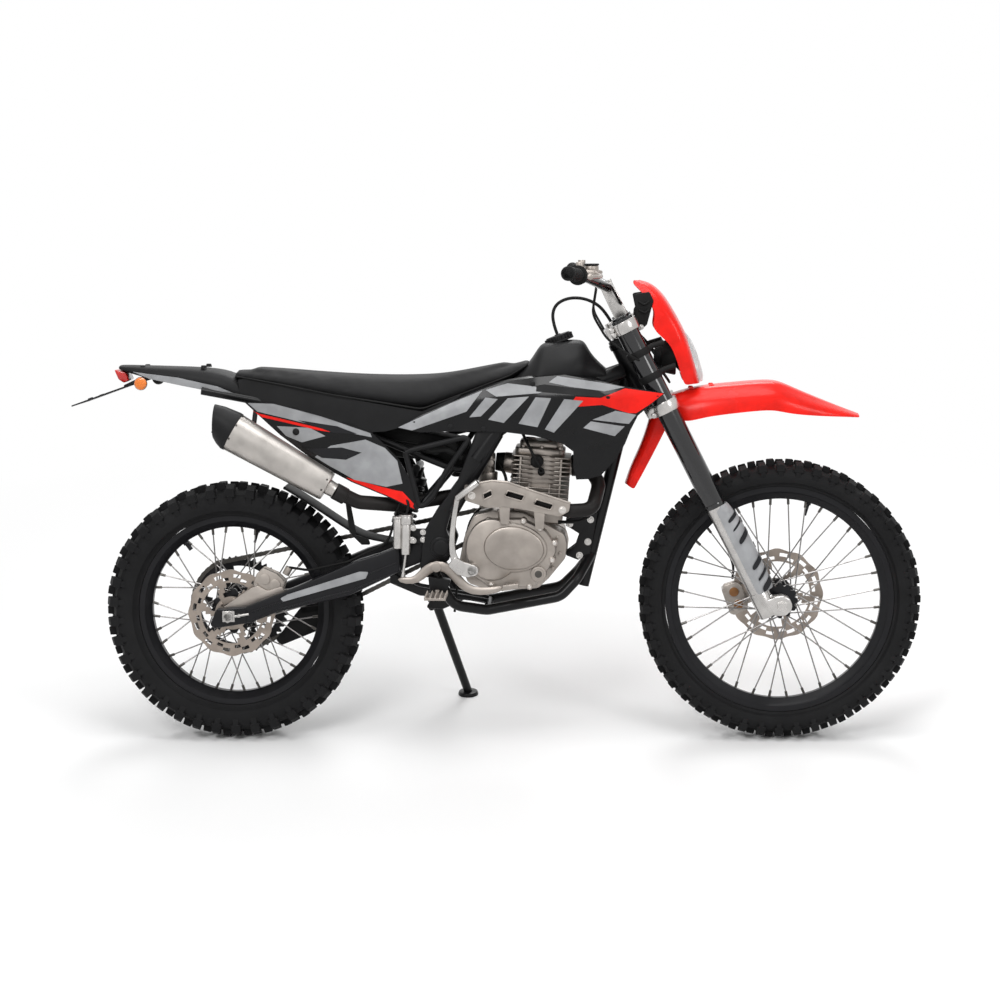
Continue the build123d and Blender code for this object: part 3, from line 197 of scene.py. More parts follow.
def backdrop_strength(tree, plain_strength):
    """Light strength that is white for the camera and for mirrors, and plain for everything else."""
    strength = tree.nodes.new("ShaderNodeMapRange")
    strength.inputs["To Min"].default_value = plain_strength
    strength.inputs["To Max"].default_value = 1.0
    tree.links.new(seen_directly(tree), strength.inputs["Value"])
    return strength.outputs["Result"]


background = world.node_tree.nodes["Background"]
background.inputs["Color"].default_value = (1, 1, 1, 1)
world.node_tree.links.new(backdrop_strength(world.node_tree, 0.38), background.inputs["Strength"])
floor_paint = bpy.data.materials.new("floor_paint")
floor_paint.use_nodes = True
floor_shader = floor_paint.node_tree.nodes["Principled BSDF"]
floor_shader.inputs["Base Color"].default_value = (0.96, 0.96, 0.96, 1)
floor_shader.inputs["Roughness"].default_value = 0.85
floor_shader.inputs["Specular IOR Level"].default_value = 0.1
FADE_FROM = 1.2
FADE_TO = 3.0
tree = floor_paint.node_tree
place = tree.nodes.new("ShaderNodeTexCoord")
reach = tree.nodes.new("ShaderNodeVectorMath")
reach.operation = "LENGTH"
tree.links.new(place.outputs["Object"], reach.inputs[0])
fade = tree.nodes.new("ShaderNodeMapRange")
fade.inputs["From Min"].default_value = FADE_FROM
fade.inputs["From Max"].default_value = FADE_TO
tree.links.new(reach.outputs["Value"], fade.inputs["Value"])
far_and_seen = tree.nodes.new("ShaderNodeMath")
far_and_seen.operation = "MULTIPLY"
tree.links.new(fade.outputs["Result"], far_and_seen.inputs[0])
tree.links.new(seen_directly(tree), far_and_seen.inputs[1])
white = tree.nodes.new("ShaderNodeEmission")
white.inputs["Color"].default_value = (1, 1, 1, 1)
mixed = tree.nodes.new("ShaderNodeMixShader")
tree.links.new(far_and_seen.outputs[0], mixed.inputs["Fac"])
tree.links.new(floor_shader.outputs["BSDF"], mixed.inputs[1])
tree.links.new(white.outputs["Emission"], mixed.inputs[2])
tree.links.new(mixed.outputs["Shader"], tree.nodes["Material Output"].inputs["Surface"])
floor.data.materials.append(floor_paint)

# %% [markdown]
# A finish is more than a colour. Each material below starts from the same small kit: a noise that varies the
# roughness, as handling and moulding do, and a fine noise in the bump for grain, paint orange peel or casting
# skin. The pattern reads Object coordinates, so it stays put on a piece when the piece moves.

# %% Kit for finishes
def new_finish(name, colour, metal, rough, coat=0.0):
    """Material with its fixed values set on the shader itself."""
    material = bpy.data.materials.new(name)
    material.use_nodes = True
    shader = material.node_tree.nodes["Principled BSDF"]
    shader.inputs["Base Color"].default_value = (*colour, 1)
    shader.inputs["Metallic"].default_value = metal
    shader.inputs["Roughness"].default_value = rough
    shader.inputs["Coat Weight"].default_value = coat
    shader.inputs["Coat Roughness"].default_value = 0.08
    return material, material.node_tree, shader


def noise(tree, scale, detail=4, stretch=(1, 1, 1)):
    """Noise in the object's own space, in features per metre, which may be stretched along an axis."""
    place = tree.nodes.new("ShaderNodeTexCoord")
    mapping = tree.nodes.new("ShaderNodeMapping")
    mapping.inputs["Scale"].default_value = stretch
    texture = tree.nodes.new("ShaderNodeTexNoise")
    texture.inputs["Scale"].default_value = scale
    texture.inputs["Detail"].default_value = detail
    tree.links.new(place.outputs["Object"], mapping.inputs["Vector"])
    tree.links.new(mapping.outputs["Vector"], texture.inputs["Vector"])
    return texture.outputs["Fac"]


def spread(tree, value, low, high):
    """Stretch a noise around its middle onto a range of roughness."""
    ranged = tree.nodes.new("ShaderNodeMapRange")
    ranged.inputs["From Min"].default_value = 0.3
    ranged.inputs["From Max"].default_value = 0.7
    ranged.inputs["To Min"].default_value = low
    ranged.inputs["To Max"].default_value = high
    tree.links.new(value, ranged.inputs["Value"])
    return ranged.outputs["Result"]


def shade(tree, value, dark, light):
    """Colour that wanders between two near shades."""
    ramp = tree.nodes.new("ShaderNodeValToRGB")
    ramp.color_ramp.elements[0].position = 0.35
    ramp.color_ramp.elements[0].color = (*dark, 1)
    ramp.color_ramp.elements[1].position = 0.65
    ramp.color_ramp.elements[1].color = (*light, 1)
    tree.links.new(value, ramp.inputs["Fac"])
    return ramp.outputs["Color"]


def bump(tree, shader, value, strength, distance):
    """Fine relief, in metres."""
    relief = tree.nodes.new("ShaderNodeBump")
    relief.inputs["Strength"].default_value = strength
    relief.inputs["Distance"].default_value = distance
    tree.links.new(value, relief.inputs["Height"])
    tree.links.new(relief.outputs["Normal"], shader.inputs["Normal"])


def worn_finish(name, colour, metal, rough, swing, grain, relief, coat=0.0, stretch=(1, 1, 1)):
    """Finish with a wandering roughness, a slight change of shade and a fine grain."""
    material, tree, shader = new_finish(name, colour, metal, rough, coat)
    cloudy = noise(tree, 9, 5)
    tree.links.new(spread(tree, cloudy, rough - swing, rough + swing), shader.inputs["Roughness"])
    darker = [value * 0.86 for value in colour]
    lighter = [min(value * 1.1, 1) for value in colour]
    tree.links.new(shade(tree, noise(tree, 22, 3), darker, lighter), shader.inputs["Base Color"])
    bump(tree, shader, noise(tree, grain, 3, stretch), 0.35, relief)
    return material


# %% The finishes of the bike
frame_paint = worn_finish("frame_paint", (0.006, 0.006, 0.0065), 0.0, 0.32, 0.05, 900, 0.0001, coat=0.07)
black_anodising = worn_finish("black_anodising", (0.008, 0.008, 0.0095), 0.1, 0.34, 0.05, 1400, 0.00006, coat=0.1)
gloss_black_tube = worn_finish("gloss_black_tube", (0.006, 0.006, 0.007), 0.1, 0.16, 0.04, 500, 0.00003, coat=0.4)
cast_alloy = worn_finish("cast_alloy", (0.345, 0.31, 0.28), 0.85, 0.4, 0.06, 1500, 0.00018)
bright_alloy = worn_finish("bright_alloy", (0.49, 0.475, 0.46), 0.95, 0.26, 0.06, 900, 0.00008)
polished_steel = worn_finish("polished_steel", (0.60, 0.57, 0.54), 1.0, 0.22, 0.05, 700, 0.00003)
disc_steel = worn_finish("disc_steel", (0.31, 0.265, 0.23), 0.9, 0.34, 0.05, 700, 0.00003)
spoke_steel = worn_finish("spoke_steel", (0.25, 0.24, 0.235), 0.95, 0.3, 0.05, 700, 0.00003)
piston_bronze = worn_finish("piston_bronze", (0.22, 0.1, 0.035), 0.6, 0.4, 0.05, 700, 0.00003)
chrome_steel = worn_finish("chrome_steel", (0.72, 0.72, 0.72), 1.0, 0.1, 0.03, 400, 0.00002)
tyre_rubber = worn_finish("tyre_rubber", (0.0075, 0.0075, 0.008), 0.0, 0.7, 0.08, 700, 0.00025)
moulded_rubber = worn_finish("moulded_rubber", (0.007, 0.007, 0.007), 0.0, 0.6, 0.08, 1000, 0.0001)
red_plastic = worn_finish("red_plastic", (0.84, 0.014, 0.008), 0.0, 0.26, 0.04, 350, 0.00005, coat=0.07)
gloss_plastic = worn_finish("gloss_plastic", (0.006, 0.006, 0.0065), 0.0, 0.2, 0.04, 350, 0.00005, coat=0.07)
grained_plastic = worn_finish("grained_plastic", (0.009, 0.009, 0.0095), 0.0, 0.5, 0.06, 1600, 0.0002)
grey_decal = worn_finish("grey_decal", (0.33, 0.335, 0.345), 0.0, 0.34, 0.015, 120, 0.00001, coat=0.07)
red_decal = worn_finish("red_decal", (0.84, 0.014, 0.008), 0.0, 0.3, 0.03, 400, 0.00002, coat=0.07)
dark_decal = worn_finish("dark_decal", (0.012, 0.012, 0.014), 0.0, 0.3, 0.03, 400, 0.00002, coat=0.07)
pipe_paint = worn_finish("pipe_paint", (0.014, 0.0125, 0.012), 0.1, 0.46, 0.08, 1100, 0.00014)
chain_steel = worn_finish("chain_steel", (0.085, 0.08, 0.074), 0.9, 0.38, 0.08, 900, 0.0001)
brushed_silencer = worn_finish("brushed_silencer", (0.44, 0.415, 0.39), 0.95, 0.33, 0.05, 900, 0.0001,
                               stretch=(0.2, 1, 1))
seat_cover = worn_finish("seat_cover", (0.0085, 0.0085, 0.009), 0.0, 0.6, 0.05, 1300, 0.0004)
red_lens = worn_finish("red_lens", (0.62, 0.012, 0.008), 0.0, 0.14, 0.03, 300, 0.00002, coat=0.5)
amber_lens = worn_finish("amber_lens", (0.85, 0.2, 0.01), 0.0, 0.16, 0.03, 300, 0.00002, coat=0.5)
clear_lens = worn_finish("clear_lens", (0.86, 0.87, 0.87), 0.0, 0.12, 0.03, 300, 0.00002, coat=0.5)
clear_lens.node_tree.nodes["Principled BSDF"].inputs["Transmission Weight"].default_value = 0.75
for dark in (frame_paint, black_anodising, tyre_rubber, moulded_rubber, gloss_plastic, grained_plastic, dark_decal,
             pipe_paint, seat_cover, red_plastic, red_decal, grey_decal):
    dark.node_tree.nodes["Principled BSDF"].inputs["Specular IOR Level"].default_value = 0.17

CAD_FINISH = {
    frame_paint: ["frame", "subframe", "side_stand", "rear_suspension"],
    black_anodising: ["front_rim", "rear_rim", "rear_sprocket", "swingarm"],
    gloss_black_tube: ["fork_tubes", "handlebar"],
    cast_alloy: ["engine", "clutch_cover", "generator_cover", "engine_guard", "front_caliper", "rear_caliper",
                 "brake_pedal", "hand_controls", "footpegs", "rear_master_cylinder"],
    bright_alloy: ["fork_clamps", "front_axle", "rear_axle", "gear_lever", "kick_lever"],
    polished_steel: ["fork_lowers", "front_hub", "rear_hub"],
    disc_steel: ["front_disc", "rear_disc"],
    tyre_rubber: ["front_tyre", "rear_tyre"],
    moulded_rubber: ["grips", "mud_flap"],
    red_plastic: ["front_fender", "headlamp_mask", "tail_lamps"],
    gloss_plastic: ["shrouds", "side_panels", "fuel_tank"],
    grained_plastic: ["seat", "tank_cap", "intake", "rear_fender", "plate_holder", "chain_guide"],
    grey_decal: ["headlamp_lens"],
    pipe_paint: ["exhaust_pipe"],
    brushed_silencer: ["muffler"],
    chain_steel: ["chain"],
}
for finish_material, names in CAD_FINISH.items():
    for name in names:
        nodes[name].data.materials.clear()
        nodes[name].data.materials.append(finish_material)

# %% [markdown]
# Most of the bike is turned, bent or cut from plate, so a few helpers do what a workshop does. A rod is a cone
# primitive between two points. A plate starts as a circle primitive whose corners are moved onto the outline and
# is then extruded. Both get a small bevel, because an edge that catches no light looks like paper.

# %% Rods, plates and rings
def bevelled(piece, width, segments=2):
    """Round the sharp edges of a piece."""
    modifier = piece.modifiers.new("edge", "BEVEL")
    modifier.width = width / 1000
    modifier.segments = segments
    modifier.limit_method = "ANGLE"
    modifier.angle_limit = math.radians(32)
    apply_all(piece)
    return piece


def rod(start, end, radius, end_radius=None, sides=32, edge=0.0):
    """Round bar between two points of the upright bike."""
    run = end - start
    bpy.ops.object.select_all(action="DESELECT")
    bpy.ops.mesh.primitive_cone_add(
        vertices=sides, radius1=radius / 1000, radius2=(radius if end_radius is None else end_radius) / 1000,
        depth=run.length, location=(start + end) / 2, rotation=run.to_track_quat("Z", "Y").to_euler())
    piece = bpy.context.active_object
    bpy.ops.object.transform_apply(location=True, rotation=True, scale=True)
    return bevelled(piece, edge) if edge else piece


def plate(outline, inner, outer, edge=1.0):
    """Flat plate with an outline seen from the side, between two distances left of the middle."""
    bpy.ops.object.select_all(action="DESELECT")
    bpy.ops.mesh.primitive_circle_add(vertices=len(outline), fill_type="NGON")
    piece = bpy.context.active_object
    for vertex, (x, z) in zip(piece.data.vertices, outline):
        vertex.co = mm(x, inner, z)
    bpy.ops.object.mode_set(mode="EDIT")
    bpy.ops.mesh.select_all(action="SELECT")
    bpy.ops.mesh.extrude_region_move(TRANSFORM_OT_translate={"value": (0, (outer - inner) / 1000, 0)})
    bpy.ops.mesh.select_all(action="SELECT")
    bpy.ops.mesh.normals_make_consistent(inside=False)
    bpy.ops.object.mode_set(mode="OBJECT")
    return bevelled(piece, edge) if edge else piece


def turned(profile, centre, steps=120):
    """Ring spun about a wheel's axle from a closed profile of distances left and radii."""
    bpy.ops.object.select_all(action="DESELECT")
    bpy.ops.mesh.primitive_circle_add(vertices=len(profile))
    piece = bpy.context.active_object
    for vertex, (left, radius) in zip(piece.data.vertices, profile):
        vertex.co = centre + mm(0, left, radius)
    bpy.ops.object.mode_set(mode="EDIT")
    bpy.ops.mesh.select_all(action="SELECT")
    bpy.ops.mesh.spin(steps=steps, angle=2 * math.pi, center=centre, axis=(0, 1, 0))
    bpy.ops.mesh.select_all(action="SELECT")
    bpy.ops.mesh.remove_doubles(threshold=1e-5)
    bpy.ops.mesh.normals_make_consistent(inside=False)
    bpy.ops.object.mode_set(mode="OBJECT")
    return piece


# %% [markdown]
# Bent tubes follow a list of corners. Each corner is rounded by a short curve, and a curve object with a round
# bevel becomes the tube. Lofted bodies bridge a row of rings. What repeats, such as a knob, a spoke or a chain
# link, is modelled once and copied by a list of placing matrices.

# %% Tubes, lofts and repeats
def mesh_piece(name, points, faces):
    """New object from points and faces, with its faces turned outwards."""
    data = bpy.data.meshes.new(name)
    data.from_pydata([tuple(point) for point in points], [], faces)
    piece = bpy.data.objects.new(name, data)
    bpy.context.scene.collection.objects.link(piece)
    alone(piece)
    bpy.ops.object.mode_set(mode="EDIT")
    bpy.ops.mesh.select_all(action="SELECT")
    bpy.ops.mesh.normals_make_consistent(inside=False)
    bpy.ops.object.mode_set(mode="OBJECT")
    return piece


def rounded(corners, bend):
    """Line through the corners, each corner cut by a smooth curve."""
    line = [corners[0]]
    for before, corner, after in zip(corners, corners[1:], corners[2:]):
        back, ahead = (before - corner), (after - corner)
        half = max(back.angle(ahead) / 2, 0.05)
        cut = min(bend / 1000 / math.tan(half), 0.48 * back.length, 0.48 * ahead.length)
        first, last = corner + back.normalized() * cut, corner + ahead.normalized() * cut
        for step in range(9):
            share = step / 8
            line.append(first * (1 - share) ** 2 + corner * 2 * share * (1 - share) + last * share ** 2)
    return line + [corners[-1]]


def soft(outline, bend):
    """Outline with its corners rounded."""
    ring = [mm(x, 0, z) for x, z in outline]
    start = (ring[-1] + ring[0]) / 2
    return [(point.x * 1000, point.z * 1000) for point in rounded([start] + ring + [start], bend)[:-1]]


def tube(corners, radius, bend=40, sides=10, name="tube"):
    """Bent round tube with closed ends."""
    line = rounded(corners, bend)
    data = bpy.data.curves.new(name, "CURVE")
    data.dimensions = "3D"
    data.bevel_depth = radius / 1000
    data.bevel_resolution = sides // 2
    data.use_fill_caps = True
    run = data.splines.new("POLY")
    run.points.add(len(line) - 1)
    for point, place in zip(run.points, line):
        point.co = (*place, 1)
    piece = bpy.data.objects.new(name, data)
    bpy.context.scene.collection.objects.link(piece)
    alone(piece)
    bpy.ops.object.convert(target="MESH")
    piece = bpy.context.active_object
    bpy.ops.object.mode_set(mode="EDIT")
    bpy.ops.mesh.select_all(action="SELECT")
    bpy.ops.mesh.remove_doubles(threshold=1e-5)
    bpy.ops.mesh.normals_make_consistent(inside=False)
    bpy.ops.object.mode_set(mode="OBJECT")
    return piece


def loft(rings, smooth=0, name="loft"):
    """Closed body through rings of equal length, rounded by subdivision where asked."""
    count = len(rings[0])
    faces = [list(range(count))[::-1], [len(rings) * count - count + index for index in range(count)]]
    for row in range(len(rings) - 1):
        for index in range(count):
            after = (index + 1) % count
            faces.append([row * count + index, row * count + after,
                          (row + 1) * count + after, (row + 1) * count + index])
    piece = mesh_piece(name, [point for ring in rings for point in ring], faces)
    if smooth:
        modifier = piece.modifiers.new("smooth", "SUBSURF")
        modifier.levels = smooth
        modifier.render_levels = smooth
        apply_all(piece)
    return piece


def copies(template, places, name="copies"):
    """One mesh of a template copied by each placing matrix. The template is used up."""
    shape = template.data
    size = len(shape.vertices)
    points, faces = [], []
    for number, place in enumerate(places):
        points += [place @ vertex.co for vertex in shape.vertices]
        faces += [[number * size + index for index in face.vertices] for face in shape.polygons]
    bpy.data.objects.remove(template)
    return mesh_piece(name, points, faces)


def turn_about(centre, degrees):
    """Matrix that turns about the line across the bike through a centre."""
    return (Matrix.Translation(centre) @ Matrix.Rotation(math.radians(degrees), 4, "Y")
            @ Matrix.Translation(-centre))


def between(start, end):
    """Matrix that puts an upright metre-long template between two points."""
    run = end - start
    return (Matrix.Translation(start) @ run.to_track_quat("Z", "Y").to_matrix().to_4x4()
            @ Matrix.Diagonal((1, 1, run.length, 1)))


def unit_rod(radius, sides=8):
    """Template rod one metre long that stands on the origin."""
    return rod(Vector((0, 0, 0)), Vector((0, 0, 1)), radius, sides=sides)


# %% [markdown]
# Moulded panels are cut from a sheet. The outline is filled with a mesh of even triangles, each point is pushed
# out to where the moulding stands at that place, and the sheet gets its wall. A sticker is the same sheet made
# thinner and laid a third of a millimetre proud, so it follows every curve of the panel under it.

# %% Panels and stickers
def inside(outline, x, z):
    """Whether a place lies inside an outline seen from the side."""
    hit = False
    for (x0, z0), (x1, z1) in zip(outline, outline[1:] + outline[:1]):
        if (z0 > z) != (z1 > z) and x < (x1 - x0) * (z - z0) / (z1 - z0) + x0:
            hit = not hit
    return hit


def panel(outline, shape, wall, side, step=11, name="panel", lift=0.0):
    """Sheet cut by an outline, whose distance from the middle is a function of the place."""
    border = []
    for (x0, z0), (x1, z1) in zip(outline, outline[1:] + outline[:1]):
        count = max(1, round(math.hypot(x1 - x0, z1 - z0) / step))
        border += [(x0 + (x1 - x0) * index / count, z0 + (z1 - z0) * index / count) for index in range(count)]
    places = list(border)
    low_x, high_x = min(x for x, _ in outline), max(x for x, _ in outline)
    low_z, high_z = min(z for _, z in outline), max(z for _, z in outline)
    for row in range(int((high_z - low_z) / step) + 1):
        for column in range(int((high_x - low_x) / step) + 1):
            x, z = low_x + (column + 0.5 * (row % 2)) * step, low_z + (row + 0.4) * step
            if inside(outline, x, z) and min(math.hypot(x - px, z - pz) for px, pz in border) > 0.55 * step:
                places.append((x, z))
    edges = [(index, (index + 1) % len(border)) for index in range(len(border))]
    flat, _, faces, *_ = delaunay_2d_cdt([Vector(place) for place in places], edges, [], 1, 1e-4)
    piece = mesh_piece(name, [mm(x, side * (shape(x, z) + lift), z) for x, z in flat], [list(face) for face in faces])
    wanted = Vector((0, side, 0))
    if sum((face.normal.dot(wanted) * face.area) for face in piece.data.polygons) < 0:
        piece.data.flip_normals()
    modifier = piece.modifiers.new("wall", "SOLIDIFY")
    modifier.thickness = wall / 1000
    modifier.offset = -1
    apply_all(piece)
    return piece


def along(table, x):
    """Value at x on the straight runs of a table of (x, value), kept level past its ends."""
    if x <= table[0][0]:
        return table[0][1]
    for (x0, v0), (x1, v1) in zip(table, table[1:]):
        if x <= x1:
            share = (x - x0) / (x1 - x0)
            share = share * share * (3 - 2 * share)
            return v0 + (v1 - v0) * share
    return table[-1][1]


# %% [markdown]
# The tyres are what gives such a bike its stance. Each carcass is a ring spun from its profile. The knobs are
# small bevelled blocks on three rows: centre blocks that alternate between one wide knob and a pair, and
# shoulder knobs that lean outwards, each with a tab that runs down the side wall.

# %% Tyres
WHEELS = {  # name: axle, tip, half width, knob height, crown, shoulder, knobs, rim radius, rim depth, rim width
    "front": (FRONT_AXLE, 351, 43, 13, 15, 36, 46, 284, 32, 46),
    "rear": (REAR_AXLE, 325, 50, 16, 20, 43, 38, 241, 30, 56),
}


def knob(axle, inner, outer, base, inner_top, outer_top, length, slope=0.82):
    """One tread block at the top of the wheel."""
    bpy.ops.object.select_all(action="DESELECT")
    bpy.ops.mesh.primitive_cube_add(size=2)
    piece = bpy.context.active_object
    for vertex in piece.data.vertices:
        along_way, across, up = vertex.co
        left = outer if across > 0 else inner
        high = (outer_top if across > 0 else inner_top) if up > 0 else base - (4 if across > 0 else 0)
        reach = length / 2 * (slope if up > 0 else 1)
        vertex.co = axle + mm(along_way * reach, left, high)
    return bevelled(piece, 1.3, 1)


for name, (axle, tip, half, height, crown, shoulder, knobs, rim, depth, width) in WHEELS.items():
    tread = tip - height
    bead = width / 2 + 3
    deep = tread - rim
    wall_line = [(bead - 7, rim + 1.5), (bead, rim + 1), (bead + 3, rim + 7), (half - 5, rim + 0.22 * deep),
                 (half - 2, rim + 0.4 * deep), (half - 3, rim + 0.62 * deep), (shoulder - 2, tread - 0.75 * height),
                 (crown + 4, tread - 2)]
    carcass = turned(wall_line + [(0, tread)] + [(-left, radius) for left, radius in reversed(wall_line)], axle, 144)
    pitch = 2 * math.pi * tip / knobs
    pieces = [carcass]
    rows = [(1, 0, -0.62 * crown, 0.62 * crown, 0, 0, 0.46), (0, 1, 3, crown, 0, 0, 0.46),
            (0, -1, -crown, -3, 0, 0, 0.46)]
    for wide, way, inner, outer, drop_in, drop_out, share in rows:
        turns = [360 / knobs * (index + 0.5) for index in range(knobs) if (index % 2 == 0) == bool(wide)]
        block = knob(axle, inner, outer, tread - 6, tip - drop_in, tip - drop_out, pitch * share)
        pieces.append(copies(block, [turn_about(axle, turn) for turn in turns]))
    for side in (-1, 1):
        ends = (crown + 4, half) if side > 0 else (-half, -crown - 4)
        tops = (tip - 2, tip - 0.85 * height)
        tops = tops if side > 0 else tops[::-1]
        block = knob(axle, *ends, tread - 1.15 * height, *tops, pitch * 0.48)
        pieces.append(copies(block, [turn_about(axle, 360 / knobs * index) for index in range(knobs)]))
        rib_ends = (half - 3.4, half - 1.2) if side > 0 else (1.2 - half, 3.4 - half)
        rib = knob(axle, *rib_ends, rim + 0.55 * deep, tread - 4, tread - 4, pitch * 0.3)
        pieces.append(copies(rib, [turn_about(axle, 360 / knobs * index) for index in range(knobs)]))
    finish(joined(name + "_tread", pieces), name + "_knobbly_tyre", name + "_wheel", tyre_rubber,
           [name + "_tyre"], 30)

# %% [markdown]
# A rim is a rolled section, spun like the tyre. The thirty-six spokes cross each other from the hub's lobed
# flanges, and each ends in a dark nipple. A valve and a rim lock stand inwards, as in the photograph.

# %% Rims, spokes and hubs
HUBS = {  # name: barrel radius, flange radius, flange place, hub end, bore, bosses
    "front": (22, 42, 33, 76, 10.6, 12),
    "rear": (30, 54, 30, 79, 11.6, 12),
}
SPOKES = 36
SPOKE_LEAD = 60
STAGGER = 9


def lobed(radius, lobes, depth, steps=8):
    """Outline of a flange whose rim swells at each spoke pair."""
    line = []
    for index in range(lobes * steps):
        turn = 2 * math.pi * index / (lobes * steps)
        reach = radius - depth * (0.5 - 0.5 * math.cos(turn * lobes)) ** 2
        line.append((reach * math.cos(turn), reach * math.sin(turn)))
    return line


for name, (barrel, flange, flange_y, end_y, bore, lobes) in HUBS.items():
    axle, rim, depth, width = WHEELS[name][0], *WHEELS[name][7:]
    body = name + "_wheel"
    half = width / 2
    well = rim - depth
    rim_line = [(half, rim), (half, rim - 3), (half - 2, rim - 13), (half - 7, rim - 18), (half / 2 - 2, well + 2),
                (half / 3, well)]
    top_line = [(half - 3, rim - 0.5), (half - 4, rim - 8), (half / 2, rim - 14)]
    ring = rim_line + [(-left, radius) for left, radius in reversed(rim_line)]
    ring += [(-left, radius) for left, radius in top_line] + [(left, radius) for left, radius in reversed(top_line)]
    pieces = [turned(ring, axle, 144)]
    for turn, tall, stout in ((17, 34, 3.2), (-36, 24, 5.5)):
        stem = rod(axle + mm(0, 0, well + 2), axle + mm(0, 0, well - tall), stout, sides=16, edge=0.6)
        nut = rod(axle + mm(0, 0, well + 1), axle + mm(0, 0, well - 6), stout + 3, sides=6, edge=0.5)
        pieces.append(copies(joined("valve", [stem, nut]), [turn_about(axle, turn)]))
    finish(joined(name + "_ring", pieces), name + "_wheel_rim", body, black_anodising,
           [name + "_rim"], 30)
    starts, ends = [], []
    for way in (-1, 1):
        for index in range(SPOKES // 2):
            hole = math.radians(20 * (index + way / 4))
            lead = math.radians(SPOKE_LEAD if index % 2 else -SPOKE_LEAD)
            out = way * flange_y + (STAGGER if index % 2 else -STAGGER) / 2
            reach = flange - 5
            starts.append(axle + mm(reach * math.cos(hole), out, reach * math.sin(hole)))
            ends.append(axle + mm((well + 1) * math.cos(hole + lead), way * 4, (well + 1) * math.sin(hole + lead)))
    spokes = copies(unit_rod(1.7), [between(start, end) for start, end in zip(starts, ends)])
    finish(spokes, name + "_spokes", body, spoke_steel)
    tips = [end + (start - end).normalized() * 0.016 for start, end in zip(starts, ends)]
    nipples = copies(unit_rod(3.4), [between(tip, end) for tip, end in zip(tips, ends)])
    finish(nipples, name + "_nipples", body, chain_steel)
    pieces = [rod(axle + mm(0, -flange_y, 0), axle + mm(0, flange_y, 0), barrel, sides=40)]
    for way in (-1, 1):
        outline = [(axle.x * 1000 + x, axle.z * 1000 + z) for x, z in lobed(flange + 3, lobes, 9)]
        pieces.append(plate(outline, *sorted((way * (flange_y - 7), way * (flange_y + 7))), 1.5))
        pieces.append(rod(axle + mm(0, way * (flange_y + 6), 0), axle + mm(0, way * end_y, 0),
                          barrel - 3 if name == "front" else 26, bore + 6, 32, 1))
    finish(joined(name + "_centre", pieces), name + "_wheel_hub", body, black_anodising,
           [name + "_hub"], 30)

# %% [markdown]
# The discs are wave shaped plates with cut-outs, and the rear sprocket has forty-eight teeth and windows. All of
# them are one flat grid of cells round the axle: a cell is left out where the real plate is cut through, and the
# edge radius swells as the waves or the teeth do.

# %% Discs and sprocket
def round_plate(axle, place, thick, edge, hollow, columns, levels, name):
    """Plate round an axle: outer radius as a function of the angle, and a test that leaves cells out."""
    points, faces, used = [], [], {}
    for column in range(columns):
        angle = 2 * math.pi * column / columns
        for level, share in enumerate(levels):
            reach = edge(angle) if share == 1 else share
            points.append(axle + mm(reach * math.cos(angle), place - thick / 2, reach * math.sin(angle)))
    rows = len(levels)
    for column in range(columns):
        for level in range(rows - 1):
            if not hollow(2 * math.pi * (column + 0.5) / columns, level):
                after = (column + 1) % columns
                faces.append([column * rows + level, after * rows + level, after * rows + level + 1,
                              column * rows + level + 1])
    for face in faces:
        for index in face:
            used.setdefault(index, len(used))
    kept = [points[index] for index in sorted(used, key=used.get)]
    piece = mesh_piece(name, kept, [[used[index] for index in face] for face in faces])
    if piece.data.polygons[0].normal.y > 0:
        piece.data.flip_normals()
    modifier = piece.modifiers.new("wall", "SOLIDIFY")
    modifier.thickness = thick / 1000
    modifier.offset = -1
    apply_all(piece)
    return piece


DISCS = {"front": (117, 62, 12), "rear": (110, -62, 12)}  # name: radius, place, waves
for name, (radius, place, waves) in DISCS.items():
    axle = WHEELS[name][0]

    def wave(angle, radius=radius, waves=waves):
        return radius - 2.2 + 2.2 * math.cos(waves * angle)

    def cut(angle, level, waves=waves):
        wave_part = (angle * waves / (2 * math.pi)) % 1
        arm_part = (angle * 6 / (2 * math.pi) + level * 0.11) % 1
        if level in (1, 2, 3):
            return arm_part > 0.26
        if level == 5:
            return 0.12 < wave_part < 0.46
        if level == 6:
            return 0.5 < wave_part < 0.88
        return False

    levels = [26, 42, 54, 66, radius - 33, radius - 28, radius - 20, radius - 11, 1]
    disc = round_plate(axle, place, 4, wave, cut, 288, levels, name + "_disc_plate")
    bolts = rod(axle + mm(0, place - 5, 34), axle + mm(0, place + 5, 34), 5.5, sides=6, edge=0.5)
    bolts = copies(bolts, [turn_about(axle, 60 * index + 12) for index in range(6)])
    finish(joined("disc", [disc, bolts]), name + "_wave_disc", name + "_wheel", disc_steel,
           [name + "_disc"], 30)

CHAIN_Y = 64
PITCH = 15.875
REAR_TEETH = 48
FRONT_TEETH = 13
DRIVE_SHAFT = mm(612, 0, 537)
rear_pitch = PITCH / 2 / math.sin(math.pi / REAR_TEETH)
front_pitch = PITCH / 2 / math.sin(math.pi / FRONT_TEETH)


def toothed(pitch_radius, teeth):
    """Radius of a chain sprocket's edge as a function of the angle."""
    def edge(angle):
        return pitch_radius + 0.5 - 5 * math.cos(2 * math.pi * ((angle * teeth / (2 * math.pi)) % 1))
    return edge


def windows(angle, level):
    """Six slanted windows between the arms of the rear sprocket."""
    return level in (1, 2, 3) and (angle * 6 / (2 * math.pi) + level * 0.12) % 1 > 0.24


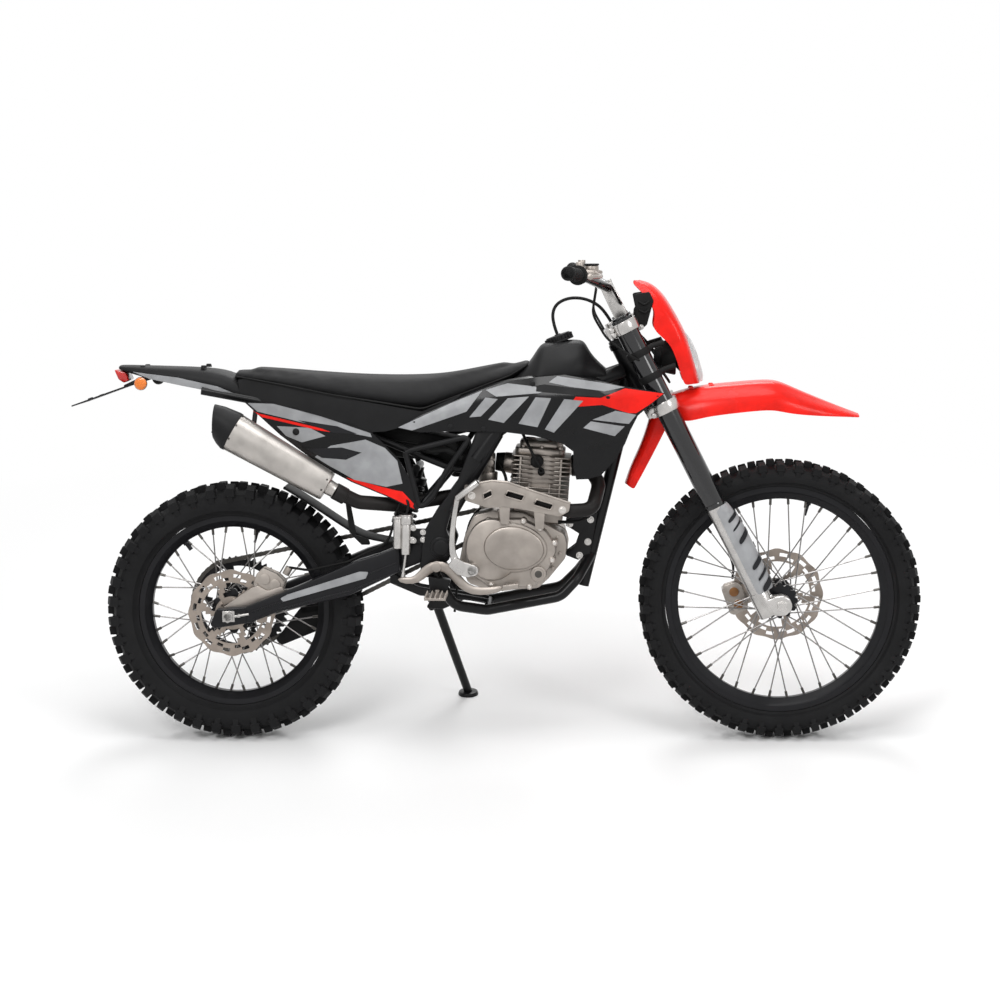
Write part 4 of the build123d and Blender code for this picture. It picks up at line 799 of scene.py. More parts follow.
sprocket = round_plate(REAR_AXLE, CHAIN_Y, 6, toothed(rear_pitch, REAR_TEETH), windows, REAR_TEETH * 8,
                       [33, 58, 72, 86, 101, rear_pitch - 7, 1], "sprocket_plate")
bolts = rod(REAR_AXLE + mm(0, CHAIN_Y - 7, 50), REAR_AXLE + mm(0, CHAIN_Y + 7, 50), 6.5, sides=6, edge=0.6)
bolts = copies(bolts, [turn_about(REAR_AXLE, 60 * index) for index in range(6)])
finish(joined("sprocket", [sprocket, bolts]), "rear_chain_sprocket", "rear_wheel", black_anodising,
       ["rear_sprocket"], 30)

# %% [markdown]
# The chain is made of links, not a belt. Its pitch line is two straight runs and two arcs. A function walks that
# line by length, and at every pitch it places a roller and a pair of waisted plates, inner and outer in turn.

# %% Chain
span = DRIVE_SHAFT - REAR_AXLE
slope = math.atan2(span.z, span.x)
wrap = math.asin((rear_pitch - front_pitch) / 1000 / span.length)
top, low = slope + math.pi / 2 + wrap, slope - math.pi / 2 - wrap


def on_wheel(centre, radius, turn):
    return centre + mm(radius * math.cos(turn), CHAIN_Y, radius * math.sin(turn))


straight = (on_wheel(DRIVE_SHAFT, front_pitch, top) - on_wheel(REAR_AXLE, rear_pitch, top)).length * 1000
front_arc = front_pitch * (top - low)
rear_arc = rear_pitch * (2 * math.pi - (top - low))
CHAIN_RUNS = [straight, front_arc, straight, rear_arc]
links = 2 * round(sum(CHAIN_RUNS) / PITCH / 2)
link_pitch = sum(CHAIN_RUNS) / links


def chain_point(run):
    """Point of the pitch line at a length from the top of the rear sprocket."""
    run %= sum(CHAIN_RUNS)
    if run < straight:
        start, end = on_wheel(REAR_AXLE, rear_pitch, top), on_wheel(DRIVE_SHAFT, front_pitch, top)
        return start.lerp(end, run / straight)
    run -= straight
    if run < front_arc:
        return on_wheel(DRIVE_SHAFT, front_pitch, top - run / front_pitch)
    run -= front_arc
    if run < straight:
        start, end = on_wheel(DRIVE_SHAFT, front_pitch, low), on_wheel(REAR_AXLE, rear_pitch, low)
        return start.lerp(end, run / straight)
    return on_wheel(REAR_AXLE, rear_pitch, low - (run - straight) / rear_pitch)


def link_plate(left):
    """Waisted link plate about the origin, one pitch long, at a distance to the left."""
    half = link_pitch / 2
    outline = []
    for turn in range(-60, 61, 30):
        outline.append((half + 6.4 * math.cos(math.radians(turn)), 6.4 * math.sin(math.radians(turn))))
    outline.append((0, 4.8))
    for turn in range(120, 241, 30):
        outline.append((-half + 6.4 * math.cos(math.radians(turn)), 6.4 * math.sin(math.radians(turn))))
    outline.append((0, -4.8))
    return plate(outline, left - 0.8, left + 0.8, 0)


rollers, inner_places, outer_places = [], [], []
for index in range(links):
    here, after = chain_point(index * link_pitch), chain_point((index + 1) * link_pitch)
    rollers.append(Matrix.Translation(here))
    middle = (here + after) / 2
    way = math.atan2(after.z - here.z, after.x - here.x)
    place = Matrix.Translation(middle) @ Matrix.Rotation(-way, 4, "Y")
    (inner_places if index % 2 else outer_places).append(place)
chain = [copies(rod(mm(0, -8.5, 0), mm(0, 8.5, 0), 4.2, sides=10), rollers),
         copies(joined("inner", [link_plate(-4.6), link_plate(4.6)]), inner_places),
         copies(joined("outer", [link_plate(-6.6), link_plate(6.6)]), outer_places)]
finish(joined("links", chain), "drive_chain", "chassis", chain_steel, ["chain"], 30)
print("the chain has", links, "links")

# %% [markdown]
# The upside-down fork has gloss black outer tubes above and bright stanchions below, held by two silver clamps.
# Everything is laid out from the steering axis with the fork helper, so it turns with the bars.

# %% Fork legs and clamps
CLAMP_OFFSET = 26
LEG_Y = 100
OUTER_RADIUS = 27
STANCHION = 23.5
AXLE_LEAD = 38

legs, sliders, feet, shields = [], [], [], []
for side in (-1, 1):
    left = side * LEG_Y
    legs += [rod(fork(CLAMP_OFFSET, left, 302), fork(CLAMP_OFFSET, left, 806), OUTER_RADIUS, sides=48, edge=1),
             rod(fork(CLAMP_OFFSET, left, 290), fork(CLAMP_OFFSET, left, 302), OUTER_RADIUS - 2, sides=48, edge=1),
             rod(fork(CLAMP_OFFSET, left, 806), fork(CLAMP_OFFSET, left, 812), 22, sides=6, edge=1)]
    sliders.append(rod(fork(CLAMP_OFFSET, left, 46), fork(CLAMP_OFFSET, left, 295), STANCHION, sides=48))
    centre = FRONT_AXLE + mm(0, left, 0)
    feet.append(rod(fork(CLAMP_OFFSET, left, -10), fork(CLAMP_OFFSET, left, 56), STANCHION + 1.8, sides=40, edge=2))
    foot_line = [(-38, -19), (-12, -25), (8, -24), (21, -12), (24, 2), (18, 17), (4, 25), (-20, 22), (-40, 14)]
    feet.append(plate([(FRONT_AXLE.x * 1000 + x, FRONT_AXLE.z * 1000 + z) for x, z in foot_line],
                      left - 22.5, left + 22.5, 4))
    feet.append(rod(centre + mm(0, side * 22, 0), centre + mm(0, side * 27, 0), 15, sides=6, edge=1))
    for up in (14, 34):
        feet.append(rod(fork(CLAMP_OFFSET + 20, left + side * 14, up), fork(CLAMP_OFFSET + 27, left + side * 14, up),
                        4.5, sides=12, edge=0.5))
lug = [(-84, -24), (-40, -16), (-46, 40), (-96, 34)]
feet.append(plate([(FRONT_AXLE.x * 1000 + x, FRONT_AXLE.z * 1000 + z) for x, z in lug], 84.5, LEG_Y, 2))
finish(joined("legs", legs), "fork_outer_tubes", "front_end", gloss_black_tube, ["fork_tubes"])
finish(joined("feet", sliders + feet), "fork_stanchions", "front_end", bright_alloy,
       ["fork_lowers"])
SHIELD_RING = [(-4, -31), (12, -32), (31, -25), (43, -10), (43, 10), (31, 25), (12, 32), (-4, 31)]
SHIELD_ROWS = [(52, 0.9), (64, 0.98), (110, 1.03), (205, 1.0), (262, 0.88), (286, 0.74), (290, 0.7)]  # height, size
SLASHES = [(72, 88, 9), (106, 114, 10), (132, 146, 9), (206, 220, 10), (238, 244, 8), (256, 266, 6)]  # low, high, slant


def shield_sheet(rows, wall, slant=0.0, span=(0, 8), size=1.0, side=1):
    """Curved sheet round the front of a fork leg, through rows of height and size."""
    columns = SHIELD_RING[span[0]:span[1]]
    points = [fork(CLAMP_OFFSET + x * share * size, side * LEG_Y + y * share * size, up - slant * abs(index - 3.5))
              for up, share in rows for index, (x, y) in enumerate(columns, span[0])]
    count = len(columns)
    faces = [[row * count + index, row * count + index + 1, (row + 1) * count + index + 1, (row + 1) * count + index]
             for row in range(len(rows) - 1) for index in range(count - 1)]
    piece = mesh_piece("shield", points, faces)
    modifier = piece.modifiers.new("smooth", "SUBSURF")
    modifier.levels = modifier.render_levels = 2
    modifier = piece.modifiers.new("wall", "SOLIDIFY")
    modifier.thickness = wall / 1000
    apply_all(piece)
    return piece


finish(joined("shields", [shield_sheet(SHIELD_ROWS, 2.5, side=side) for side in (-1, 1)]), "fork_leg_guards",
       "front_end", grey_decal)
marks = []
for side in (-1, 1):
    for low, high, slant in SLASHES:
        share = along(SHIELD_ROWS, (low + high) / 2) + 0.012
        marks.append(shield_sheet([(low, share), (high, share)], 0.4, slant, (1, 7), 1.03, side))
finish(joined("marks", marks), "fork_leg_guard_slashes", "front_end", dark_decal)


def clamp(up, height):
    """Fork clamp: two split rings, a web between them and its pinch bolts."""
    pieces = []
    for side in (-1, 1):
        ring = rod(fork(CLAMP_OFFSET, side * LEG_Y, up), fork(CLAMP_OFFSET, side * LEG_Y, up + height), 34,
                   sides=56, edge=2)
        pieces.append(ring)
        for level in (0.28, 0.72):
            high = up + height * level
            pieces.append(rod(fork(CLAMP_OFFSET - 34, side * (LEG_Y - 26), high),
                              fork(CLAMP_OFFSET - 34, side * (LEG_Y + 20), high), 6.5, sides=20, edge=1))
            pieces.append(rod(fork(CLAMP_OFFSET - 34, side * (LEG_Y + 20), high),
                              fork(CLAMP_OFFSET - 34, side * (LEG_Y + 26), high), 4.5, sides=6, edge=0.5))
    web = [(-26, -40), (-22, -84), (12, -88), (34, -70), (22, -44), (20, 44), (34, 70), (12, 88), (-22, 84),
           (-26, 40)]
    pieces.append(loft([[fork(x, y, up + 2) for x, y in web], [fork(x, y, up + height - 2) for x, y in web]]))
    pieces[-1] = bevelled(pieces[-1], 2)
    return pieces


stem = [rod(fork(0, 0, 560), fork(0, 0, 806), 16, sides=40),
        rod(fork(0, 0, 799), fork(0, 0, 807), 18, sides=6, edge=1)]
finish(joined("clamps", clamp(552, 29) + clamp(770, 29) + stem), "fork_clamp_pair", "front_end", bright_alloy,
       ["fork_clamps"])
axle_bar = rod(FRONT_AXLE + mm(0, -131, 0), FRONT_AXLE + mm(0, 131, 0), 10, sides=40, edge=1)
finish(axle_bar, "front_axle_bar", "front_end", bright_alloy, ["front_axle"])

# %% [markdown]
# The bar is a braced-free motocross bend on silver risers. The grips have ribs, and beside each of them sits a
# perch with a lever, a switch and, on the right, the brake's fluid pot.

# %% Handlebar, grips and levers
BAR_END = mm(853, 400, 1173)
bar_way = (mm(884, 230, 1164) - BAR_END).normalized()


def on_bar(side, run, ahead=0, up=0):
    """Point beside the straight end of the bar, a distance in from its end."""
    place = BAR_END + bar_way * run / 1000
    return Vector((place.x + ahead / 1000, side * place.y, place.z + up / 1000))


BAR_LINE = [on_bar(1, 4), mm(884, 230, 1164), mm(947, 110, 1132), mm(947, -110, 1132), mm(884, -230, 1164),
            on_bar(-1, 4)]
finish(tube(BAR_LINE, 11, 60, 16), "handlebar_tube", "front_end", gloss_black_tube,
       ["handlebar"])
risers = []
for side in (-1, 1):
    riser_line = [(12, 13), (12, -13), (46, -13), (46, 13)]
    rings = [[fork(x, side * 42 + y, up) for x, y in riser_line] for up in (800, 840)]
    rings.append([fork(14 + (x - 12) * 0.94, side * 42 + y, 897) for x, y in riser_line])
    risers.append(bevelled(loft(rings), 3))
    for ahead in (17, 42):
        risers.append(rod(fork(ahead, side * 42, 896), fork(ahead, side * 42, 902), 5, sides=12, edge=0.6))
finish(joined("risers", risers), "bar_risers", "front_end", bright_alloy)

grips, controls, levers = [], [], []
for side in (-1, 1):
    grips.append(rod(on_bar(side, -4), on_bar(side, 116), 14.6, sides=40, edge=1.5))
    for ring in range(14):
        grips.append(rod(on_bar(side, 12 + ring * 7), on_bar(side, 15.5 + ring * 7), 16, sides=40, edge=0.8))
    grips.append(rod(on_bar(side, -4), on_bar(side, 4), 17, sides=40, edge=2))
    grips.append(rod(on_bar(side, 116), on_bar(side, 123), 24, 20, sides=40, edge=1.5))
    controls.append(rod(on_bar(side, 136), on_bar(side, 160), 18, sides=32, edge=2))
    controls.append(rod(on_bar(side, 143, 4, 6), on_bar(side, 143, 34, 4), 10, sides=24, edge=2))
    controls.append(rod(on_bar(side, 143, 0, 8), on_bar(side, 143, 0, 32), 9.5, sides=24, edge=1))
    grips.append(rod(on_bar(side, 124), on_bar(side, 134), 21, sides=24, edge=3))
    blade = tube([on_bar(side, 140, 34, 2), on_bar(side, 118, 54, -2), on_bar(side, 40, 62, -7),
                  on_bar(side, 4, 52, -8)], 5.2, 20, 10)
    levers += [blade, rod(on_bar(side, 3, 52, -8) - mm(2, 0, 0), on_bar(side, -3, 51, -8), 7.5, sides=20, edge=3)]
pot = [rod(on_bar(-1, 176, 20, 2), on_bar(-1, 136, 34, 2), 11, sides=28, edge=2),
       rod(on_bar(-1, 160, 24, 4), on_bar(-1, 160, 24, 24), 17, sides=32, edge=3)]
finish(joined("grips", grips), "bar_grips", "front_end", moulded_rubber, ["grips"])
finish(joined("controls", controls + levers + pot), "levers_and_perches", "front_end", cast_alloy,
       ["hand_controls"])
throttle = [rod(on_bar(-1, 124), on_bar(-1, 150), 20, sides=32, edge=3),
            rod(on_bar(1, 162), on_bar(1, 186), 19, sides=24, edge=4),
            rod(on_bar(-1, 160, 24, 24), on_bar(-1, 160, 24, 29), 18, sides=32, edge=2)]
finish(joined("switches", throttle), "switches_and_lids", "front_end", grained_plastic)

# %% [markdown]
# The breather hose is the bike's one free cord. It rises from the tank cap, loops back and dips into the top of
# the steering stem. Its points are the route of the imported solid, and a NURBS line smooths them.

# %% Breather hose
HOSE_DIAMETER = 0.008
HOSE_ROUTE = [(819, 0, 1018), (806, 1, 1052), (812, 4, 1088), (842, 7, 1106), (880, 6, 1107), (914, 3, 1094),
              (937, 1, 1073)]
hose_places = [mm(*point) for point in HOSE_ROUTE] + [fork(0, 0, 807.6)]
hose_curve = bpy.data.curves.new("breather_hose", "CURVE")
hose_curve.dimensions = "3D"
hose_curve.bevel_depth = HOSE_DIAMETER / 2
hose_curve.bevel_resolution = 5
hose_curve.resolution_u = 12
hose_curve.use_fill_caps = True
hose_line = hose_curve.splines.new("NURBS")
hose_line.points.add(len(hose_places) - 1)
for point, place in zip(hose_line.points, hose_places):
    point.co = (*(PARKED @ place), 1)
hose_line.order_u = 3
hose_line.use_endpoint_u = True
hose = bpy.data.objects.new("breather_hose", hose_curve)
bpy.context.scene.collection.objects.link(hose)
hose_curve.materials.append(moulded_rubber)
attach(hose, "chassis")
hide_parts("vent_hose")

# %% [markdown]
# The tank is a moulded shell that rises to a flat top for the filler. Only a few rings are needed, because two
# levels of subdivision round them. The cap is turned, with finger ribs round its edge.

# %% Tank and cap
def body_ring(x, bottom, top, low, high, shoulder=0.82):
    """Ring of eight points: x, bottom, top, half width low and half width high."""
    middle = bottom + (top - bottom) * 0.55
    right = [(0.0, bottom), (low * 0.8, bottom), (low, bottom + (top - bottom) * 0.2), (max(low, high), middle),
             (high, bottom + (top - bottom) * shoulder), (high * 0.72, top), (0.0, top + 1.5)]
    return [mm(x, y, z) for y, z in right] + [mm(x, -y, z) for y, z in reversed(right[1:-1])]


TANK = [(646, 815, 860, 70, 58), (652, 815, 864, 72, 60), (700, 826, 902, 82, 66), (752, 842, 948, 90, 68),
        (772, 850, 986, 92, 70), (790, 856, 1000, 92, 68), (866, 884, 1004, 86, 52), (888, 893, 1000, 70, 46),
        (900, 898, 968, 62, 44), (938, 911, 932, 54, 46), (944, 912, 929, 52, 44)]
finish(loft([body_ring(*row) for row in TANK], 2), "tank_shell", "chassis", grained_plastic,
       ["fuel_tank"], 50)
CAP_FOOT = mm(826, 0, 998.4)
CAP_WAY = Vector((-0.335, 0, 0.942)).normalized()
cap = [rod(CAP_FOOT, CAP_FOOT + CAP_WAY * 0.018, 32, 31, sides=48, edge=2),
       rod(CAP_FOOT, CAP_FOOT + CAP_WAY * 0.005, 36, sides=48, edge=1),
       rod(CAP_FOOT + CAP_WAY * 0.018, CAP_FOOT + CAP_WAY * 0.0205, 9, 7, sides=24, edge=1)]
rib = rod(mm(33, 0, 0), mm(33, 0, 15), 2.6, sides=8)
to_cap = Matrix.Translation(CAP_FOOT) @ CAP_WAY.to_track_quat("Z", "Y").to_matrix().to_4x4()
cap.append(copies(rib, [to_cap @ Matrix.Rotation(math.radians(18 * index), 4, "Z") for index in range(20)]))
finish(joined("cap", cap), "filler_cap", "chassis", grained_plastic, ["tank_cap"])

# %% [markdown]
# The saddle is foam under one sewn cover. It starts from a loft, is remeshed evenly and blown up a little as
# cloth, with each point held within a few millimetres, which gives the soft swell between its edges. A welt
# then runs along each lower edge.

# %% Saddle
SEAT = [(16, 919, 937, 58, 50), (24, 917, 939, 64, 56), (150, 893, 930, 92, 76), (266, 868, 919, 110, 88),
        (380, 848, 913, 122, 92), (490, 824, 913, 116, 88), (560, 854, 919, 98, 74), (640, 886, 935, 74, 56),
        (704, 912, 947, 58, 46), (746, 941, 959, 48, 40), (750, 943, 959, 46, 38)]
SEAT_SWELL = 0.005
saddle = loft([body_ring(*row, 0.8) for row in SEAT], 2)
before = {}
modifier = saddle.modifiers.new("even", "REMESH")
modifier.mode = "VOXEL"
modifier.voxel_size = 0.007
apply_all(saddle)
rest = [vertex.co.copy() for vertex in saddle.data.vertices]
cloth = saddle.modifiers.new("swell", "CLOTH")
cloth.settings.use_pressure = True
cloth.settings.uniform_pressure_force = 4
cloth.settings.effector_weights.gravity = 0
for step in range(1, 21):
    bpy.context.scene.frame_set(step)
apply_all(saddle)
bpy.context.scene.frame_set(1)
for vertex, start in zip(saddle.data.vertices, rest):
    move = vertex.co - start
    if move.length > SEAT_SWELL:
        vertex.co = start + move.normalized() * SEAT_SWELL
print("the saddle swelled on", len(rest), "points")
finish(saddle, "saddle", "chassis", seat_cover, ["seat"], 60)
welts = []
for side in (-1, 1):
    edge_line = [mm(x, side * (low - 1.5 + (2.5 if 100 < x < 600 else 0)), bottom + (top - bottom) * 0.2)
                 for x, bottom, top, low, _ in SEAT[1:-1]]
    welts.append(tube(edge_line, 2.2, 60, 8))
finish(joined("welts", welts), "saddle_welt", "chassis", moulded_rubber)

# %% [markdown]
# The shrouds reach from the steering head back under the saddle. Their outline is read from the side, and one
# function says how far out the moulding stands: a waist at the knee, a flare in front and a lower front corner
# that tucks in. The stickers are cut from the same function. Their slashes are plain shapes with no lettering.

# %% Shrouds
SHROUD_PLAN = [(430, 132), (560, 128), (640, 124), (760, 126), (900, 144), (980, 151), (1090, 152)]
SHROUD_CREASE = [(430, 806), (700, 868), (930, 872), (1084, 876)]
SHROUD_SKIRT = [(560, 790), (834, 765), (930, 800), (1030, 840)]


def shroud_shape(x, z):
    """Distance of the shroud's outer face from the middle of the bike."""
    over = max(0.0, z - along(SHROUD_CREASE, x))
    under = max(0.0, along(SHROUD_SKIRT, x) - z)
    return along(SHROUD_PLAN, x) - 0.32 * over - 0.16 * under + 2 * math.sin(math.pi * min(1, under / 40))


SHROUD = [(430, 797), (484, 826), (560, 858), (636, 889), (697, 909), (770, 918), (839, 924), (930, 908), (985, 896),
          (1081, 880), (1046, 852), (1016, 826), (998, 790), (985, 757), (960, 716), (926, 678), (894, 669),
          (866, 668), (859, 700), (859, 738), (834, 757), (764, 776), (686, 786), (560, 788), (486, 786)]
SLOT = [(770, 898), (790, 901), (922, 886), (936, 878), (925, 871), (769, 884)]
GREY_STICKERS = [
    [(432, 799), (466, 791), (599, 836), (638, 887), (560, 856)],
    [(646, 888), (672, 872), (776, 880), (802, 888), (764, 896), (700, 904)],
    [(800, 906), (821, 921), (930, 905), (985, 895), (936, 885), (850, 896)],
    [(606, 822), (634, 824), (676, 866), (646, 870)],
    [(652, 816), (690, 808), (752, 872), (700, 868)],
    [(726, 806), (772, 797), (806, 868), (768, 870)],
    [(790, 792), (812, 784), (884, 862), (838, 866)],
    [(884, 796), (960, 776), (984, 800), (902, 812)],
    [(906, 816), (994, 806), (1012, 828), (962, 838)],
]
RED_STICKER = [(846, 846), (866, 872), (926, 869), (985, 892), (1078, 879), (1046, 854), (1012, 832), (994, 832),
               (930, 852)]
for side, way in ((-1, "right"), (1, "left")):
    cover = panel(SHROUD, shroud_shape, 3.2, side, 10)
    slot_floor = panel(SLOT, shroud_shape, 1.2, side, 9, lift=0.9)
    screws = []
    for x, z in ((761, 901), (640, 793), (560, 800)):
        out = side * shroud_shape(x, z)
        screws.append(rod(mm(x, out - side * 2, z), mm(x, out + side * 2.2, z), 7, 6, sides=24, edge=0.6))
    top_line = [(560, 858), (636, 887), (697, 906), (770, 915), (839, 920), (900, 910), (930, 903)]
    inner_line = [(560, 98), (640, 76), (711, 76), (790, 86), (839, 84), (900, 62), (930, 56)]
    ledge_points, faces = [], []
    for row, ((x, z), (_, y)) in enumerate(zip(top_line, inner_line)):
        for share in (0, 0.5, 1):
            out = y + (shroud_shape(x, z) - 4 - y) * share
            ledge_points.append(mm(x, side * out, z - 2.5 + 9 * (1 - share)))
        if row:
            faces += [[3 * row - 3 + index, 3 * row - 2 + index, 3 * row + 1 + index, 3 * row + index]
                      for index in (0, 1)]
    ledge = mesh_piece("ledge", ledge_points, faces)
    for kind in ("SUBSURF", "SOLIDIFY"):
        modifier = ledge.modifiers.new("form", kind)
        if kind == "SUBSURF":
            modifier.levels = modifier.render_levels = 2
        else:
            modifier.thickness = 0.003
    apply_all(ledge)
    finish(joined("cover", [cover, ledge]), "shroud_" + way, "chassis", gloss_plastic,
           ["shrouds"] if side < 0 else (), 40)
    finish(joined("trim", [slot_floor] + screws), "shroud_trim_" + way, "chassis", grained_plastic)
    marks = [panel(outline, shroud_shape, 0.3, side, 9, lift=0.45) for outline in GREY_STICKERS]
    finish(joined("marks", marks), "shroud_grey_sticker_" + way, "chassis", grey_decal)
    finish(panel(RED_STICKER, shroud_shape, 0.3, side, 9, lift=0.35), "shroud_red_sticker_" + way, "chassis",
           red_decal)

# %% [markdown]
# The side panels close the space under the saddle. They are the same kind of sheet, with a frame round the
# opening that shows the airbox, and stickers in grey and red laid over them.

# %% Side panels
SIDE_PLAN = [(40, 88), (137, 91), (200, 97), (262, 104), (330, 116), (400, 125), (490, 126)]


def side_shape(x, z):
    """Distance of the side panel's outer face from the middle of the bike."""
    return along(SIDE_PLAN, x) - 0.0009 * (z - 735) ** 2 / 4


SIDE_PANEL = [(47, 860), (120, 860), (240, 830), (362, 789), (400, 754), (432, 720), (462, 664), (482, 622),
              (480, 600), (470, 592), (400, 628), (313, 663), (240, 700), (137, 777)]
SIDE_GREY = [
    [(56, 857), (120, 855), (240, 824), (362, 784), (366, 774), (300, 786), (180, 812), (80, 836)],
    [(262, 752), (350, 768), (398, 748), (428, 716), (440, 660), (400, 652), (322, 668), (262, 700), (222, 724)],
    [(128, 800), (210, 796), (250, 776), (190, 760), (150, 776)],
]
SIDE_RED = [
    [(68, 838), (84, 831), (250, 792), (262, 786), (232, 790), (92, 822)],
    [(300, 674), (420, 644), (440, 640), (474, 602), (470, 596), (400, 631), (313, 666)],
]
SIDE_DARK = [[(200, 744), (290, 748), (340, 736), (300, 718), (240, 722)],
             [(180, 815), (280, 800), (330, 782), (270, 784)]]
for side, way in ((-1, "right"), (1, "left")):
    cover = panel(SIDE_PANEL, side_shape, 3.2, side, 10)
    knobs_and_frame = []
    for x, z in ((176, 786), (474, 604)):
        out = side * side_shape(x, z)
        knobs_and_frame.append(rod(mm(x, out - side * 2, z), mm(x, out + side * 3, z), 9, 8, sides=28, edge=1))
    window = [(448, 736), (462, 742), (590, 772), (604, 768), (548, 690), (514, 628), (492, 606), (480, 604)]
    window_line = [mm(x, side * 121, z) for x, z in window]
    knobs_and_frame.append(tube(window_line + window_line[:1], 7, 12, 8))
    finish(cover, "side_panel_" + way, "chassis", gloss_plastic,
           ["side_panels"] if side < 0 else (), 40)
    finish(joined("trim", knobs_and_frame), "side_panel_trim_" + way, "chassis", grained_plastic)
    for kind, outlines, material in (("grey", SIDE_GREY, grey_decal), ("red", SIDE_RED, red_decal),
                                     ("dark", SIDE_DARK, dark_decal)):
        lift = {"grey": 0.35, "red": 0.45, "dark": 0.75}[kind]
        marks = [panel(outline, side_shape, 0.3, side, 9, lift=lift) for outline in outlines]
        finish(joined("marks", marks), f"side_panel_{kind}_sticker_{way}", "chassis", material)

# %% Seat side trim
TRIM_PLAN = [(30, 74), (150, 90), (266, 106), (380, 119), (500, 122), (600, 116)]
TRIM = [(36, 864), (30, 914), (60, 916), (150, 899), (266, 876), (380, 856), (490, 836), (600, 884), (540, 846), (430, 796),
        (400, 788), (362, 786), (240, 826), (120, 856)]
for side, way in ((-1, "right"), (1, "left")):
    trim = panel(soft(TRIM, 5), lambda x, z: along(TRIM_PLAN, x) - 0.1 * max(0, z - 850), 3, side, 12)
    finish(trim, "seat_trim_" + way, "chassis", grained_plastic)

# %% Bolts and pairs of plates
def bolt(x, inner, outer, z, radius=6):
    """Hexagon bolt with a washer, across the bike."""
    way = 1 if outer > inner else -1
    return joined("bolt", [rod(mm(x, inner, z), mm(x, inner + way * 1.6, z), radius * 1.45, sides=24),
                           rod(mm(x, inner, z), mm(x, outer, z), radius, sides=6, edge=0.7)])


def both(outline, inner, outer, edge=1.0, bend=6):
    """A plate on each side of the bike."""
    flat = soft(outline, bend) if bend else outline
    return [plate(flat, *sorted((side * inner, side * outer)), edge) for side in (-1, 1)]


# %% [markdown]
# Mask, fenders and flap are thin open shells. Each is a grid of few points: rows down the shell and columns
# across it. Two levels of subdivision make the curve and Solidify gives the wall.

# %% Grids
def shell(rows, wall, levels=2, skip=(), name="shell"):
    """Open shell through rows of points, with the wall inwards; skip lists the cells left out."""
    columns = len(rows[0])
    faces = [[row * columns + column, row * columns + column + 1, (row + 1) * columns + column + 1,
              (row + 1) * columns + column]
             for row in range(len(rows) - 1) for column in range(columns - 1) if (row, column) not in skip]
    piece = mesh_piece(name, [point for row in rows for point in row], faces)
    modifier = piece.modifiers.new("smooth", "SUBSURF")
    modifier.levels = modifier.render_levels = levels
    modifier = piece.modifiers.new("wall", "SOLIDIFY")
    modifier.thickness = wall / 1000
    modifier.offset = 0
    apply_all(piece)
    return piece


def mirrored(right):
    """Row of points from the right edge over the middle to the left edge."""
    return right + [Vector((point.x, -point.y, point.z)) for point in reversed(right[:-1])]


# %% Front fender
BLADE = [  # x, crown, edge, half width, ridge half width
    (1100, 866, 812, 60, 30), (1140, 878, 802, 74, 38), (1178, 886, 816, 82, 44), (1260, 893, 826, 86, 48),
    (1338, 899, 834, 88, 50), (1368, 895, 828, 86, 46), (1402, 879, 821, 82, 36), (1470, 850, 815, 68, 24),
    (1530, 826, 812, 50, 14), (1562, 814, 809, 30, 8)]
rows = []
for x, crown, edge, half, ridge in BLADE:
    rise = crown - edge
    rows.append(mirrored([mm(x, -half, edge), mm(x, -half + 1, edge + 0.3 * rise), mm(x, -half + 8, edge + 0.62 * rise),
                          mm(x, -ridge - 10, crown - 0.14 * rise), mm(x, -ridge, crown), mm(x, -ridge / 2, crown + 1),
                          mm(x, 0, crown + 1.5)]))
blade = shell(rows, 3.5)
FLAP = [  # front x and z, back x and z, half width
    (1112, 838, 1056, 838, 46), (1096, 806, 1046, 800, 47), (1082, 776, 1036, 766, 46), (1060, 732, 1020, 726, 44),
    (1036, 686, 1002, 690, 42), (1012, 641, 989, 652, 38), (1008, 634, 987, 646, 36)]
rows = [mirrored([mm(x, -half, z), mm(x * 0.5 + back * 0.5, -half, z * 0.5 + back_z * 0.5),
                  mm(back + 4, -half + 5, back_z), mm(back, -half * 0.5, back_z), mm(back, 0, back_z)])
        for x, z, back, back_z, half in FLAP]
flap = shell(rows, 3.5)
screws = [rod(mm(x, y, z), mm(x, y, z + 5), 7, 5, sides=24, edge=1)
          for x, y, z in ((1150, -26, 881), (1150, 26, 881), (1200, -26, 888), (1200, 26, 888))]
finish(joined("fender", [blade, flap] + screws), "front_mudguard", "front_end", red_plastic,
       ["front_fender"], 45)

# %% [markdown]
# The mask is a plate that wraps the headlamp: rows go down its face, and the columns run from the rear edge of
# one side, round the front, to the other. Four cells are left open for the lamp, and the lens bulges from them.

# %% Headlamp mask
MASK = [  # z, rear x, front x, half width
    (1147, 1006, 1020, 26), (1140, 1012, 1050, 36), (1112, 1040, 1080, 58), (1072, 1066, 1104, 70),
    (1036, 1046, 1124, 76), (1004, 1096, 1138, 77), (960, 1112, 1152, 73), (915, 1126, 1164, 64),
    (896, 1132, 1168, 58)]
rows = []
for z, rear, front, half in MASK:
    rows.append(mirrored([mm(rear, -half - 2, z - 4), mm((rear + front) / 2, -half - 1, z), mm(front - 14, -half + 1, z),
                          mm(front - 5, -half + 9, z), mm(front - 1, -half * 0.62, z), mm(front + 1, -half * 0.3, z),
                          mm(front + 2, 0, z + 2)]))
window = {(row, column) for row in (5, 6) for column in (4, 5, 6, 7)}
mask_shell = shell(rows, 3.5, 2, window)
finish(mask_shell, "headlamp_mask_shell", "front_end", red_plastic, ["headlamp_mask"], 40)
STRAP_PLATE = [(1006, 1116), (1046, 1122), (1056, 1100), (1040, 1042), (1022, 1026), (1010, 1040), (1014, 1076)]
holders = both(STRAP_PLATE, 66, 70, 1, 6)
